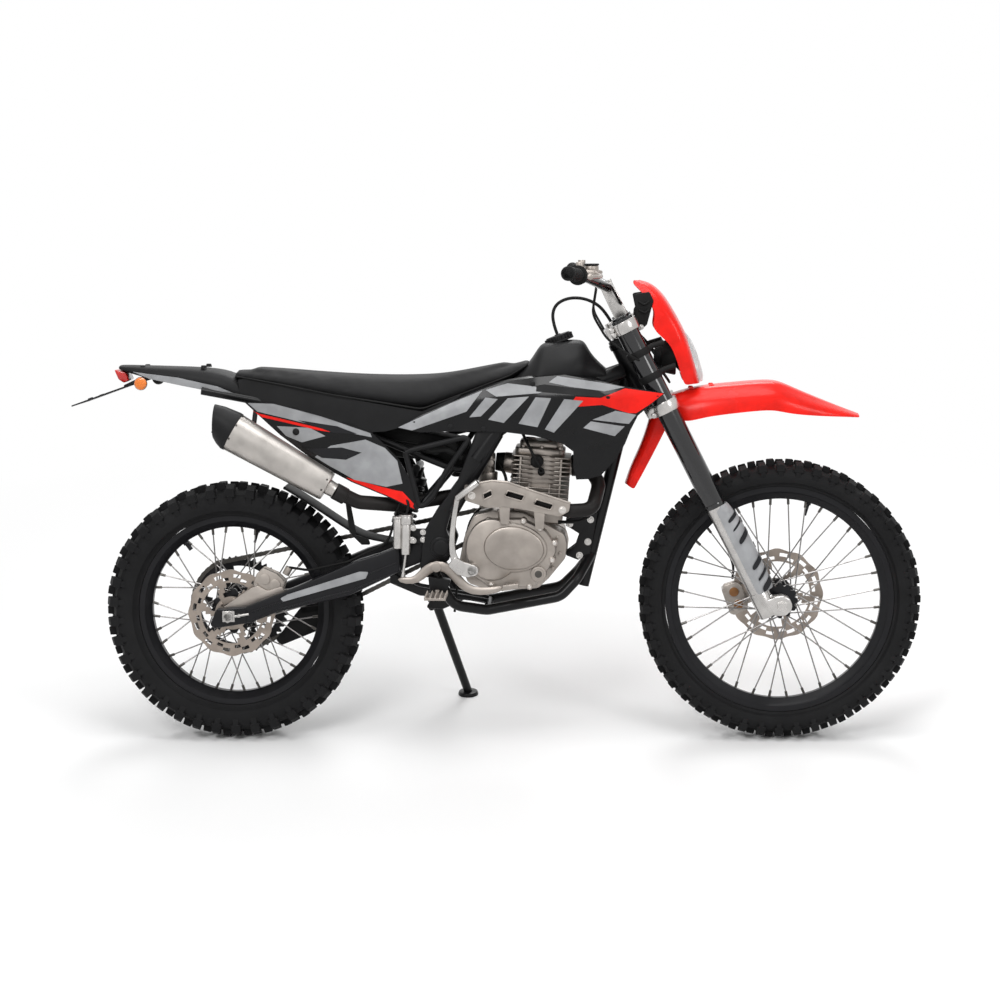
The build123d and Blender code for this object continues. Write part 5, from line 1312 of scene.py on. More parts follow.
for side in (-1, 1):
    holders += [tube([mm(1020, side * 70, z), mm(1034, side * 73, z - 8), mm(1046, side * 70, z + 2)], 3, 8, 8)
                for z in (1098, 1078)]
    holders.append(tube([mm(1030, side * 68, 1096), mm(1014, side * 62, 1076), fork(30, side * 64, 740)], 5, 10, 8))
finish(joined("holders", holders), "mask_straps_upper", "front_end", moulded_rubber)
finish(joined("screws", [bolt(1026, side * 69, side * 75, 1036, 4.5) for side in (-1, 1)]), "mask_screws", "front_end",
       bright_alloy)
rows = [mirrored([mm(front - 6, -half, z), mm(front + 1, -half * 0.8, z), mm(front + 6 + bulge, -half * 0.4, z),
                  mm(front + 8 + bulge, 0, z)])
        for z, front, half, bulge in ((1024, 1126, 42, -2), (1008, 1135, 52, 4), (975, 1147, 54, 8),
                                      (940, 1157, 52, 9), (910, 1166, 48, 7), (900, 1167, 46, 3))]
lens = shell(rows, 2.5)
finish(lens, "headlamp_lens_shell", "front_end", clear_lens, ["headlamp_lens"], 60)
rows = [mirrored([mm(front, -half, z), mm(front - deep * 0.6, -half * 0.7, z), mm(front - deep, -half * 0.3, z),
                  mm(front - deep, 0, z)])
        for z, front, half, deep in ((1004, 1126, 50, 8), (990, 1128, 52, 26), (958, 1136, 52, 40),
                                     (926, 1144, 50, 26), (908, 1148, 46, 8))]
bowl = shell(rows, 2)
bulb = rod(mm(1100, 0, 957), mm(1118, 0, 957), 9, 7, sides=24, edge=2)
finish(joined("bowl", [bowl, bulb]), "lamp_reflector", "front_end", chrome_steel, (), 60)
straps = []
for side in (-1, 1):
    for up in (642, 706):
        start = fork(CLAMP_OFFSET, side * LEG_Y, up + 5)
        ring = rod(fork(CLAMP_OFFSET, side * LEG_Y, up - 4), fork(CLAMP_OFFSET, side * LEG_Y, up + 14), 29.5,
                   sides=40, edge=2)
        lug_point = fork(CLAMP_OFFSET + 66, side * 78, up + 2)
        arm = tube([start + mm(20, 0, 8), start * 0.5 + lug_point * 0.5 + mm(0, 0, 4), lug_point], 7, 20, 8)
        straps += [ring, arm]
lamp_back = [rod(mm(1076, 0, 960), mm(1112, 0, 960), 38, 46, sides=40, edge=4),
             rod(mm(1058, 0, 960), mm(1078, 0, 960), 20, 30, sides=32, edge=4)]
finish(joined("straps", straps + lamp_back), "mask_straps", "front_end", moulded_rubber)

# %% [markdown]
# The tail is a hard shell behind the saddle. The plate holder hangs from its tip, with the tail lamp above it
# and an indicator on each side.

# %% Tail, lamps and plate holder
TAIL = [(-276, 940, 947, 30, 28), (-272, 936, 948, 38, 36), (-190, 912, 945, 58, 52), (-100, 896, 942, 70, 62),
        (-10, 874, 936, 76, 66), (30, 860, 914, 72, 62), (44, 856, 908, 70, 60)]
tail = [loft([body_ring(*row, 0.86) for row in TAIL], 2)]
for x, y in ((-214, 30), (-214, -30), (-60, 36), (-60, -36)):
    tail.append(rod(mm(x, y, 940), mm(x, y, 948), 8, 6, sides=24, edge=1))
finish(joined("tail", tail), "rear_mudguard", "chassis", grained_plastic, ["rear_fender"], 45)
TAIL_PLAN = [(-250, 46), (-190, 60), (-100, 72), (-10, 79), (30, 78)]
TAIL_STICKER = [(-238, 934), (-120, 920), (-20, 898), (22, 880), (26, 868), (-40, 886), (-190, 916)]
for side, way in ((-1, "right"), (1, "left")):
    finish(panel(TAIL_STICKER, lambda x, z: along(TAIL_PLAN, x) - 0.12 * abs(z - 905) + 1.5, 1.0, side, 10),
           "tail_sticker_" + way, "chassis", grey_decal)
lamp = [plate([(-286, 938), (-258, 932), (-250, 912), (-262, 905), (-276, 914)], -34, 34, 3)]
finish(joined("lamp", lamp), "tail_lamp_lens", "chassis", red_lens, ["tail_lamps"])
stalks, amber = [], []
for side in (-1, 1):
    stalks.append(tube([mm(-212, side * 44, 917), mm(-210, side * 70, 912), mm(-208, side * 96, 908)], 5, 20, 8))
    stalks.append(rod(mm(-204, side * 98, 908), mm(-204, side * 109, 908), 14, 17, sides=32, edge=2))
    amber.append(rod(mm(-204, side * 108, 908), mm(-204, side * 116, 908), 16.5, 13, sides=32, edge=3))
finish(joined("amber", amber), "indicator_lenses", "chassis", amber_lens)
finish(joined("stalks", stalks), "indicator_stalks", "chassis", moulded_rubber)
PLATE_TIP = mm(-384, 0, 851.5)
PLATE_BACK = Vector((0.9436, 0, 0.331))
PLATE_UP = Vector((-0.331, 0, 0.9436))
board = []
outline = [(3, -70), (0, -84), (8, -90), (110, -90), (139, -58), (139, 58), (110, 90), (8, 90), (0, 84), (3, 70)]
rings = [[PLATE_TIP + PLATE_BACK * run / 1000 + mm(0, y, 0) + PLATE_UP * high / 1000 for run, y in outline]
         for high in (-1.65, 1.65)]
board.append(bevelled(loft(rings), 1))
for y in (-60, 60):
    foot = PLATE_TIP + PLATE_BACK * 0.046 + mm(0, y, 0)
    board.append(rod(foot, foot + PLATE_UP * 0.004, 6.5, sides=24, edge=0.6))
board.append(plate([(-262, 893), (-240, 899), (-198, 912), (-196, 921), (-236, 912), (-262, 900)], -38, 38, 2))
finish(joined("board", board), "number_plate_board", "chassis", grained_plastic,
       ["plate_holder"])

# %% [markdown]
# The frame is round tube bent along the same lines as the CAD, with flat plates at the pivot, under the pegs
# and in front of the engine. Pairs come out of one loop over both sides.

# %% Frame
def holed(piece, cutters):
    """Piece with holes where the cutters are."""
    for cutter in cutters:
        modifier = piece.modifiers.new("hole", "BOOLEAN")
        modifier.object = cutter
        modifier.solver = "EXACT"
        apply_all(piece)
        bpy.data.objects.remove(cutter)
    return piece


PIVOT_PLATE = [(627, 800), (690, 800), (679, 770), (594, 647), (559, 592), (545, 543), (562, 500), (552, 470),
               (500, 420), (480, 440), (484, 500), (492, 543), (505, 566), (523, 594), (572, 660)]
STAND_PIVOT = mm(495, 138, 330)
STAND_AXIS = (UPRIGHT.to_3x3() @ Vector(joints["side_stand_fold"]["axis"])).normalized()
stand_pin = [rod(STAND_PIVOT - STAND_AXIS * 0.04, STAND_PIVOT + STAND_AXIS * 0.011, 7, sides=20),
             rod(STAND_PIVOT + STAND_AXIS * 0.0095, STAND_PIVOT + STAND_AXIS * 0.014, 10, sides=6, edge=1)]
steel = stand_pin + [tube([mm(987, 0, 925), mm(986, 0, 812), mm(880, 0, 388)], 15, 120, 12), rod(fork(0, 0, 588), fork(0, 0, 764), 30, sides=48, edge=3),
         rod(fork(0, 0, 596), fork(0, 0, 612), 33, sides=48, edge=3), rod(fork(0, 0, 740), fork(0, 0, 756), 33, sides=48, edge=3),
         plate([(1020, 842), (1006, 900), (986, 925), (984, 818)], -4, 4),
         rod(mm(642, -80, 338), mm(642, 80, 338), 10), rod(mm(655, -100, 786), mm(655, 100, 786), 12),
         rod(mm(532, -121, 500), mm(532, 121, 500), 9),
         plate(soft([(474, 312), (520, 310), (580, 336), (560, 370), (500, 352)], 8), 96, 116, 2),
         plate(soft([(432, 510), (500, 510), (500, 546), (432, 546)], 8), -114.7, -100, 2)]
for side in (-1, 1):
    spar = [(982, 22, 926), (820, 68, 868), (672, 97, 790), (620, 104, 716)]
    steel.append(tube([mm(x, side * y, z) for x, y, z in spar], 19, 90, 12))
    cradle = [(900, 4, 466), (866, 66, 414), (825, 80, 372), (642, 80, 338), (560, 92, 352), (512, 104, 440)]
    steel.append(tube([mm(x, side * y, z) for x, y, z in cradle], 13, 50, 12))
    steel.append(rod(mm(672, side * 92, 780), mm(560, side * 101, 590), 17, sides=32))
    steel.append(rod(mm(532, side * 100, 500), mm(532, side * 120, 500), 27, sides=48, edge=3))
steel += both(PIVOT_PLATE, 92, 116, 5, 14)
steel += both([(506, 374), (540, 374), (556, 420), (500, 430)], 100, 129.7, 2, 5)
steel += both([(918, 574), (898, 470), (868, 454), (838, 466), (838, 474), (862, 492), (872, 520), (850, 534),
               (838, 540), (838, 556), (880, 576)], 14.3, 20, 1, 5)
finish(joined("steel", steel), "frame_tubes_and_plates", "chassis", frame_paint, ["frame"], 40)
fittings = [bolt(x, side * 20, side * 27, z, 6) for x, z in ((848, 545), (900, 556), (872, 466), (893, 500))
            for side in (-1, 1)]
fittings += [bolt(x, -114, -120, z, 5) for x, z in ((488, 520), (488, 538))]
finish(joined("fittings", fittings), "frame_bolts", "chassis", bright_alloy)
caps = [rod(mm(532, side * 118, 500), mm(532, side * 125, 500), 21, 19, sides=40, edge=2) for side in (-1, 1)]
finish(joined("caps", caps), "pivot_caps", "chassis", grained_plastic)
rails = [rod(mm(-30, -70, 884), mm(-30, 70, 884), 9), rod(mm(300, -70, 819), mm(300, 70, 819), 9)]
for side in (-1, 1):
    rails.append(tube([mm(642.5, side * 70, 787.5), mm(300, side * 70, 819), mm(-60, side * 70, 888)], 11, 80, 10))
    rails.append(tube([mm(586, side * 80, 690), mm(560, side * 80, 692), mm(200, side * 70, 840)], 9, 30, 10))
    rails.append(tube([mm(560, side * 82, 692), mm(500, side * 92, 622), mm(486, side * 96, 606)], 9, 30, 10))
finish(joined("rails", rails), "subframe_rails", "chassis", frame_paint, ["subframe"], 40)

# %% [markdown]
# The engine is built in layers: cases with their joint line, then the cylinder as a stack of thin fins round a
# core, then the covers. The right side of the upper fins is cut back round the spark plug.

# %% Cases and cylinder
BARREL_UP = Vector((math.sin(math.radians(4)), 0, math.cos(math.radians(4))))
BARREL_FORWARD = Vector((BARREL_UP.z, 0, -BARREL_UP.x))


def barrel(forward, left, up):
    """Point of the cylinder, given in millimetres from the foot of its centre line."""
    return mm(768, 0, 560) + (BARREL_FORWARD * forward + Vector((0, left, 0)) + BARREL_UP * up) / 1000


def slice_of(outline, low, high, edge=0.5):
    """Flat slice of the cylinder with an outline seen from above."""
    return bevelled(loft([[barrel(forward, left, up) for forward, left in outline] for up in (low, high)]), edge, 1)


def block(half_length, right, left, low, high, edge=1.0, forward=0.0):
    """Block on the cylinder."""
    corners = [(forward - half_length, right), (forward + half_length, right), (forward + half_length, left),
               (forward - half_length, left)]
    return slice_of(corners, low, high, edge)


CASE = [(588, 522), (612, 578), (660, 590), (736, 584), (781, 560), (836, 530), (842, 505), (838, 470), (797, 420),
        (770, 395), (652, 388), (597, 408), (575, 460)]
LEFT_CASE = [(664, 588), (736, 584), (781, 560), (836, 530), (838, 470), (797, 420), (770, 395), (652, 388),
             (597, 408), (588, 436), (664, 485)]
castings = [plate(soft(CASE, 22), -98, 48, 5), plate(soft(LEFT_CASE, 14), 47, 92, 5),
            plate(soft([(x * 1.02 - 14, z * 1.02 - 10) for x, z in CASE], 22), -4, 4, 1),
            slice_of([(-62, -66), (62, -66), (62, 66), (-62, 66)], -6, 36, 3)]
castings.append(block(48, -48, 48, 30, 176, 2))
square = [(-66, -73), (66, -73), (73, -66), (73, 66), (66, 73), (-66, 73), (-73, 66), (-73, -66)]
cut_back = [(-66, -73), (-30, -73), (-18, -52), (22, -52), (34, -73), (66, -73), (73, -66), (73, 66), (66, 73),
            (-66, 73), (-73, 66), (-73, -66)]
for level in range(12):
    outline = square if level < 5 else cut_back
    castings.append(slice_of(outline, 36 + level * 11, 38.6 + level * 11))
for forward in (-50, -25, 25, 50):
    for side in (-1, 1):
        top = 92 if side < 0 and abs(forward) < 40 else 156
        castings.append(block(2.5, *sorted((side * 48, side * 70)), 38, top, 0.5, forward))
head = [(-58, -56), (46, -56), (58, -44), (58, 44), (46, 56), (-58, 56), (-66, 40), (-66, -40)]
castings += [slice_of(head, 160, 178, 3), slice_of([(x * 0.84, y * 0.84) for x, y in head], 176, 196, 5)]
castings += [rod(barrel(forward, left, 190), barrel(forward, left, 200), 17, 15, sides=32, edge=2)
             for forward, left in ((-32, 0), (32, 0))]
castings += [rod(barrel(forward, left, 176), barrel(forward, left, 184), 6, sides=6, edge=0.8)
             for forward in (-46, 0, 46) for left in (-46, 46)]
castings += [rod(mm(800, 0, 690), mm(857, 0, 690), 26, 24, sides=40, edge=2),
             rod(mm(720, 0, 694), mm(684, 0, 700), 27, 25, sides=40, edge=2),
             rod(mm(612, 48, 537), mm(612, 92, 537), 11, sides=24),
             rod(mm(640, -40, 590), mm(640, -40, 616), 17, 14, sides=32, edge=2)]
castings += [bolt(x, -96, -104, z, 5) for x, z in ((820, 522), (826, 482), (806, 446), (596, 440))]
castings += [bolt(x, 90, 97, z, 5) for x, z in ((822, 522), (826, 476), (790, 424), (700, 398), (620, 412), (680, 574),
                                                (760, 562))]
finish(joined("castings", castings), "engine_cases_and_cylinder", "chassis", cast_alloy,
       ["engine"], 35)
plug = [rod(barrel(2, -46, 118), barrel(2, -76, 126), 9, 8, sides=24, edge=1),
        tube([barrel(2, -74, 125), barrel(0, -92, 134), barrel(-20, -92, 166), barrel(-50, -60, 214)], 3.6, 30, 8),
        rod(barrel(-10, -54, 146), barrel(-10, -66, 146), 17, 15, sides=32, edge=2)]
finish(joined("plug", plug), "spark_plug_lead", "chassis", moulded_rubber)

# %% Clutch cover and generator cover
def oval(x, z, half_length, half_height, tilt, count=56, power=2.0):
    """Oval outline seen from the side."""
    points = []
    for index in range(count):
        angle = 2 * math.pi * index / count
        along_x = half_length * math.cos(angle) * (1 - 0.1 * math.cos(angle))
        along_z = half_height * math.sin(angle) * (1 - 0.16 * math.cos(angle))
        points.append((x + along_x * math.cos(tilt) - along_z * math.sin(tilt),
                       z + along_x * math.sin(tilt) + along_z * math.cos(tilt)))
    return points


def dome(outline, centre, steps, name="dome"):
    """Raised cover: rings of an outline drawn in by a share at each distance left of the middle."""
    rings = [[mm(centre[0] + (x - centre[0]) * share, y, centre[1] + (z - centre[1]) * share) for x, z in outline]
             for y, share in steps]
    return loft(rings, 0, name)


COVER = [(600, 470), (612, 430), (650, 402), (762, 402), (800, 450), (820, 500), (790, 545), (730, 572),
         (640, 570), (604, 530)]
inner_cover = oval(668, 496, 68, 76, 0.0)
covers = [dome(soft(COVER, 30), (710, 490), [(-97, 1), (-121, 1), (-125, 0.985), (-127, 0.96), (-127.5, 0.9)]),
          dome(inner_cover, (668, 496), [(-110, 1), (-130, 1), (-134, 0.97), (-136, 0.92)]),
          dome(oval(720, 500, 78, 57, -0.1), (720, 500), [(-110, 1.07), (-131, 1.06), (-134, 1.02), (-134.5, 0.99)]),
          dome(oval(720, 500, 74, 53, -0.1), (720, 500), [(-120, 1), (-138, 1), (-142, 0.97), (-143.5, 0.92),
                                                         (-144, 0.6)]),
          rod(mm(686, -113, 545), mm(684, -115, 590), 11, sides=32, edge=2),
          rod(mm(684, -115, 588), mm(683.5, -115, 596), 14, 13, sides=10, edge=2),
          rod(mm(772, -110, 436), mm(772, -133, 436), 21, 19, sides=40, edge=2),
          rod(mm(772, -130, 436), mm(772, -135, 436), 14, 13, sides=40, edge=1)]
covers += [rod(mm(x, -104, z), mm(x, -129.5, z), 9, 8, sides=28, edge=2)
           for x, z in ((614, 438), (656, 408), (700, 404), (750, 404), (806, 470), (812, 512), (776, 548), (736, 566),
                        (650, 566), (608, 520))]
finish(joined("covers", covers), "clutch_cover_casting", "chassis", cast_alloy, ["clutch_cover"], 32)
heads = [rod(mm(x, -128, z), mm(x, -132, z), 5, sides=6, edge=0.6)
         for x, z in ((614, 438), (656, 408), (700, 404), (750, 404), (806, 470), (812, 512), (776, 548), (736, 566),
                      (650, 566), (608, 520))]
finish(joined("heads", heads), "clutch_cover_bolts", "chassis", polished_steel)
finish(rod(mm(772, -134, 436), mm(772, -136, 436), 9, sides=32, edge=0.5), "oil_window", "chassis", chain_steel)
generator = [dome(oval(740, 490, 76, 76, 0.0), (740, 490), [(90, 1), (110, 1), (116, 0.96), (119, 0.88), (119.5, 0.6)]),
             rod(mm(740, 112, 490), mm(740, 123, 490), 27, 25, sides=48, edge=2),
             plate(soft([(640, 470), (600, 452), (598, 420), (640, 404), (690, 424)], 14), 90, 106, 3)]
generator += [bolt(740 + 69 * math.cos(angle), 106, 121, 490 + 69 * math.sin(angle), 4.5)
              for angle in (0.3, 1.35, 2.4, 3.45, 4.5, 5.55)]
finish(joined("generator", generator), "generator_cover_casting", "chassis", cast_alloy,
       ["generator_cover"], 32)

# %% [markdown]
# The engine guard is a pressed strip over the clutch cover. Its three slots are cut with a Boolean and have
# raised rims.

# %% Engine guard
GUARD = [(591, 621), (600, 645), (630, 663), (660, 668), (700, 664), (762, 642), (852, 612), (848, 592), (826, 579),
         (740, 596), (690, 604), (650, 601)]
guard = plate(soft(GUARD, 9), -144.5, -140.5, 1.2)
slots = [(650, 634, 14, 7, 0.45), (716, 631, 24, 8, -0.28), (786, 609, 24, 8, -0.3)]
rims, cutters = [], []
for x, z, half_length, half_height, tilt in slots:
    corners = [(-half_length, -half_height), (half_length - 4, -half_height), (half_length, half_height),
               (4 - half_length, half_height)]
    corners = [(x + a * math.cos(tilt) - b * math.sin(tilt), z + a * math.sin(tilt) + b * math.cos(tilt))
               for a, b in corners]
    cutters.append(plate(soft(corners, 4), -150, -136, 0))
    loop = [mm(px, -144.5, pz) for px, pz in soft(corners, 4)]
    rims.append(tube(loop + loop[:2], 2.2, 2, 6))
guard = holed(guard, cutters)
rolled_edge = [mm(x, -143, z) for x, z in ((600, 645), (630, 663), (660, 668), (700, 664), (762, 642), (852, 612))]
pieces = [guard, tube(rolled_edge, 3, 20, 8)] + rims
pieces += [rod(mm(x, -129, z), mm(x, -141, z), 9, sides=24) for x, z in ((691, 585), (776, 560))]
pieces += [plate(soft([(x - 10, z), (x + 10, z), (x + 14, z + 50), (x - 14, z + 50)], 4), -142, -139, 0.6)
           for x, z in ((691, 560), (776, 548))]
pieces.append(tube([mm(597, -142, 640), mm(597, -128, 650), mm(597, -96, 650)], 6, 12, 8))
finish(joined("guard", pieces), "engine_guard_pressing", "chassis", cast_alloy, ["engine_guard"], 30)
finish(joined("guard_bolts", [bolt(611, -144, -149, 632, 6.5), bolt(832, -144, -149, 596, 6.5)]),
       "engine_guard_bolts", "chassis", polished_steel)

# %% [markdown]
# The exhaust leaves the front of the head, loops down and back behind the guard and ends in a cone of brushed
# steel with a slanted black cap.

# %% Exhaust
PIPE = [(857, 0, 690), (893, 0, 690), (922, -54, 650), (905, -112, 592), (850, -118, 590), (780, -118, 612),
        (700, -112, 632), (620, -64, 632), (500, -62, 612), (420, -80, 602), (330, -120, 614), (276, -139, 644)]
pieces = [tube([mm(*point) for point in PIPE], 17.5, 60, 16), rod(mm(853, 0, 690), mm(866, 0, 690), 27, sides=40, edge=2),
          rod(mm(300, -130, 629), mm(274, -139, 645), 21, sides=32, edge=2)]
finish(joined("pipe", pieces), "exhaust_header", "chassis", pipe_paint, ["exhaust_pipe"], 45)
MUFFLER_FRONT, MUFFLER_BACK = mm(256, -140, 656), mm(-6, -140, 810)
muffler_way = (MUFFLER_BACK - MUFFLER_FRONT).normalized()
muffler_up = Vector((0, 1, 0)).cross(muffler_way) * (1 if Vector((0, 1, 0)).cross(muffler_way).z > 0 else -1)


def silencer_ring(run, radius, slant=0.0, count=40):
    """Ring across the silencer, given by its distance from the front end."""
    ring = []
    for index in range(count):
        angle = 2 * math.pi * index / count
        left, up = math.cos(angle) * radius * 0.94, math.sin(angle) * radius * 1.04
        ring.append(MUFFLER_FRONT + muffler_way * (run + slant * up) / 1000 + Vector((0, left / 1000, 0))
                    + muffler_up * up / 1000)
    return ring


rivets = []
for run, radius in ((6, 36.5), (262, 47)):
    for angle in range(15, 375, 45):
        turn = math.radians(angle)
        out = Vector((0, math.cos(turn) * 0.94, 0)) + muffler_up * math.sin(turn) * 1.04
        foot = MUFFLER_FRONT + muffler_way * run / 1000 + out * (radius - 1) / 1000
        rivets.append(rod(foot, foot + out * 0.0022, 2.6, sides=12))
body = loft([silencer_ring(-2, 33), silencer_ring(0, 35.5), silencer_ring(8, 36.5), silencer_ring(265, 46.8),
             silencer_ring(270, 47)])
inlet = rod(mm(276, -140, 644), mm(250, -140, 660), 18, 20, sides=32, edge=1)
finish(joined("silencer", [body, inlet]), "silencer_body", "chassis", brushed_silencer,
       ["muffler"], 35)
tip = [loft([silencer_ring(264, 48), silencer_ring(272, 48.4), silencer_ring(300, 43, 0.28), silencer_ring(318, 36, 0.5),
             silencer_ring(316, 33, 0.5), silencer_ring(292, 26, 0.3)]),
       rod(MUFFLER_BACK, MUFFLER_BACK + muffler_way * 0.006, 28, sides=32)]
hanger = [tube([mm(70, -96, 790), mm(74, -82, 832), mm(76, -74, 852)], 6, 20, 8)]
finish(joined("tip", tip + hanger), "silencer_end_cap", "chassis", grained_plastic, (), 35)
finish(joined("rivets", rivets), "silencer_rivets", "chassis", chain_steel)

# %% [markdown]
# Between the head and the airbox sit a rubber manifold, the carburettor and a ribbed boot.

# %% Intake
pieces = [rod(mm(686, 0, 699), mm(664, 0, 701), 25, 22, sides=36, edge=2),
          rod(mm(602, 0, 703), mm(622, 0, 703), 31, 27, sides=36, edge=2)]
pieces += [rod(mm(x, 0, 703), mm(x + 5, 0, 703), 33, sides=36, edge=2) for x in (604, 612)]
AIRBOX = [(330, 800), (400, 794), (480, 782), (575, 762), (600, 752), (600, 668), (560, 668), (516, 708),
          (420, 718), (345, 742)]
pieces.append(plate(soft(AIRBOX, 14), -56, 56, 8))
pieces += [tube([mm(x, -58, z) for x, z in line], 3.2, 10, 8)
           for line in (((350, 770), (470, 752), (560, 738)), ((420, 728), (520, 716), (566, 690)))]
pieces += [rod(mm(560, -100, 748), mm(560, -56, 748), 15, 17, sides=28, edge=2),
           rod(mm(520, -96, 740), mm(520, -56, 740), 13, sides=28, edge=2),
           tube([mm(480, -60, 744), mm(500, -92, 738), mm(548, -98, 742), mm(586, -96, 720)], 9, 20, 10)]
finish(joined("boots", pieces), "airbox_and_boots", "chassis", moulded_rubber, ["intake"], 40)
pieces = [rod(mm(662, 0, 701), mm(624, 0, 703), 21, sides=32, edge=2),
          rod(mm(643, 0, 672), mm(643, 0, 742), 19, 17, sides=32, edge=3),
          rod(mm(643, 0, 650), mm(643, 0, 676), 24, 26, sides=32, edge=4),
          rod(mm(643, 0, 740), mm(643, 0, 756), 20, 12, sides=32, edge=3),
          rod(mm(650, -20, 700), mm(650, -34, 700), 12, 10, sides=24, edge=1),
          plate(soft([(622, 690), (660, 690), (656, 722), (626, 722)], 6), -30, -20, 2)]
finish(joined("carburettor", pieces), "carburettor_body", "chassis", cast_alloy, (), 35)

# %% [markdown]
# The swingarm has two extruded beams with rounded edges and a groove, a yoke and a tube at the pivot. At the
# axle each beam carries a chain adjuster.

# %% Swingarm and axle
ARM = [(-47, 308), (-38, 297), (56, 312), (124, 339), (303, 380), (378, 415), (430, 440), (430, 505), (379, 485),
       (327, 469), (170, 402), (44, 353), (-30, 347)]
YOKE = [(398, 428), (470, 455), (530, 478), (552, 490), (552, 512), (530, 522), (470, 512), (398, 492)]
arms = both(ARM, 88, 116, 5, 12) + both(YOKE, 76, 90, 3, 10)
arms += [rod(mm(532, -90, 500), mm(532, 90, 500), 20, sides=40), rod(mm(478, -88, 488), mm(478, 88, 488), 16, sides=32)]
for side in (-1, 1):
    for line, wide in ((((60, 340), (124, 362), (300, 414), (420, 462)), 2.2),
                       (((64, 320), (128, 347), (300, 392), (420, 438)), 1.8)):
        arms.append(tube([mm(x, side * 116, z) for x, z in line], wide, 20, 8))
    arms.append(plate(soft([(-44, 309), (-34, 300), (46, 312), (46, 350), (-28, 345)], 8), *sorted((side * 114, side * 118)),
                      1.2))
finish(joined("arms", arms), "swingarm_beams", "chassis", black_anodising, ["swingarm"], 35)
for side, way in ((-1, "right"), (1, "left")):
    mark = [(131, 374), (139, 366), (345, 424), (352, 440), (330, 441), (150, 384)]
    finish(panel(soft(mark, 3), lambda x, z: 118.4, 0.4, side, 12), "swingarm_sticker_" + way, "chassis", grey_decal)
axle = REAR_AXLE
metal = [rod(axle + mm(0, -127, 0), axle + mm(0, 127, 0), 11, sides=32, edge=1),
         rod(axle + mm(0, 54, 0), axle + mm(0, 87, 0), 18, sides=32, edge=1),
         rod(axle + mm(0, -127, 0), axle + mm(0, -121, 0), 15, sides=6, edge=1),
         rod(axle + mm(0, 121, 0), axle + mm(0, 127, 0), 15, sides=6, edge=1)]
for side in (-1, 1):
    metal.append(plate([(-14, 315), (17, 315), (17, 343), (-14, 343)], *sorted((side * 117, side * 121)), 1.5))
    metal.append(rod(mm(17, side * 118, 329), mm(52, side * 118, 335), 3.5, sides=16))
    metal.append(rod(mm(24, side * 118, 330), mm(31, side * 118, 331.5), 6.5, sides=6, edge=0.5))
finish(joined("axle", metal), "rear_axle_and_adjusters", "chassis", bright_alloy, ["rear_axle"])

# %% [markdown]
# Both calipers are cast bodies that straddle their disc, with round piston housings and pins.

# %% Calipers and rear master cylinder
def caliper(outline, pistons, bolts, inner, outer, disc_y, reach):
    """Caliper halves on both sides of a disc, with a bridge beyond its edge."""
    centre_x = sum(x for x, _ in outline) / len(outline)
    centre_z = sum(z for _, z in outline) / len(outline)
    halves = [plate(soft(outline, 9), inner, disc_y - 5, 3), plate(soft(outline, 9), disc_y + 5, outer, 3)]
    for y0, y1 in ((inner - 3, inner + 5), (outer - 5, outer + 3)):
        halves += [rod(mm(x, y0, z), mm(x, y1, z), 14, sides=36, edge=1.5) for x, z in pistons]
    halves += [rod(mm(x, inner - 4, z), mm(x, outer + 4, z), 4.5, sides=16) for x, z in bolts]
    way = mm(centre_x, 0, centre_z) - reach
    way = way.normalized()
    spot = mm(centre_x, 0, centre_z) + way * 0.016
    halves.append(rod(spot + mm(0, inner + 3, 0), spot + mm(0, outer - 3, 0), 11, sides=32))
    return halves


def front_of(x, z):
    """Place beside the front axle, turned with the caliper."""
    turn = math.radians(20)
    return (FRONT_AXLE.x * 1000 - 105 + x * math.cos(turn) - z * math.sin(turn),
            FRONT_AXLE.z * 1000 - 8 + x * math.sin(turn) + z * math.cos(turn))


shape = [front_of(x, z) for x, z in ((-26, -32), (-18, -40), (20, -38), (26, -20), (26, 22), (18, 38), (-16, 40),
                                     (-26, 26))]
pieces = caliper(shape, [front_of(2, -17), front_of(2, 17)], [front_of(-20, -30), front_of(-20, 30)], 46, 84, 62,
                 FRONT_AXLE)
leg = [front_of(*place) for place in ((20, -30), (60, -24), (92, 2), (94, 26), (60, 34), (20, 34))]
pieces.append(plate(soft(leg, 9), 74, 84, 2))
cups = [rod(mm(x, 44, z), mm(x, 41.5, z), 12, sides=36, edge=0.8) for x, z in (front_of(2, -17), front_of(2, 17))]
finish(joined("cups", cups), "front_caliper_pistons", "front_end", piston_bronze)
finish(joined("caliper", pieces), "front_caliper_casting", "front_end", cast_alloy, ["front_caliper"],
       35)
shape = [(58, 402), (78, 388), (118, 372), (132, 384), (140, 410), (120, 430), (84, 446), (68, 430)]
pieces = caliper(shape, [(88, 417), (114, 403)], [(66, 404), (132, 410)], -84, -46, -62, REAR_AXLE)
bracket = [(-20, 312), (14, 304), (34, 322), (104, 364), (140, 384), (132, 400), (96, 388), (70, 402), (52, 394),
           (-18, 346)]
pieces.append(plate(soft(bracket, 10), -87.7, -80, 1.5))
pieces.append(rod(mm(140, -78, 428), mm(150, -78, 446), 9, sides=20, edge=1))
finish(joined("caliper", pieces), "rear_caliper_casting", "chassis", cast_alloy, ["rear_caliper"], 35)
CYLINDER_Y = -128
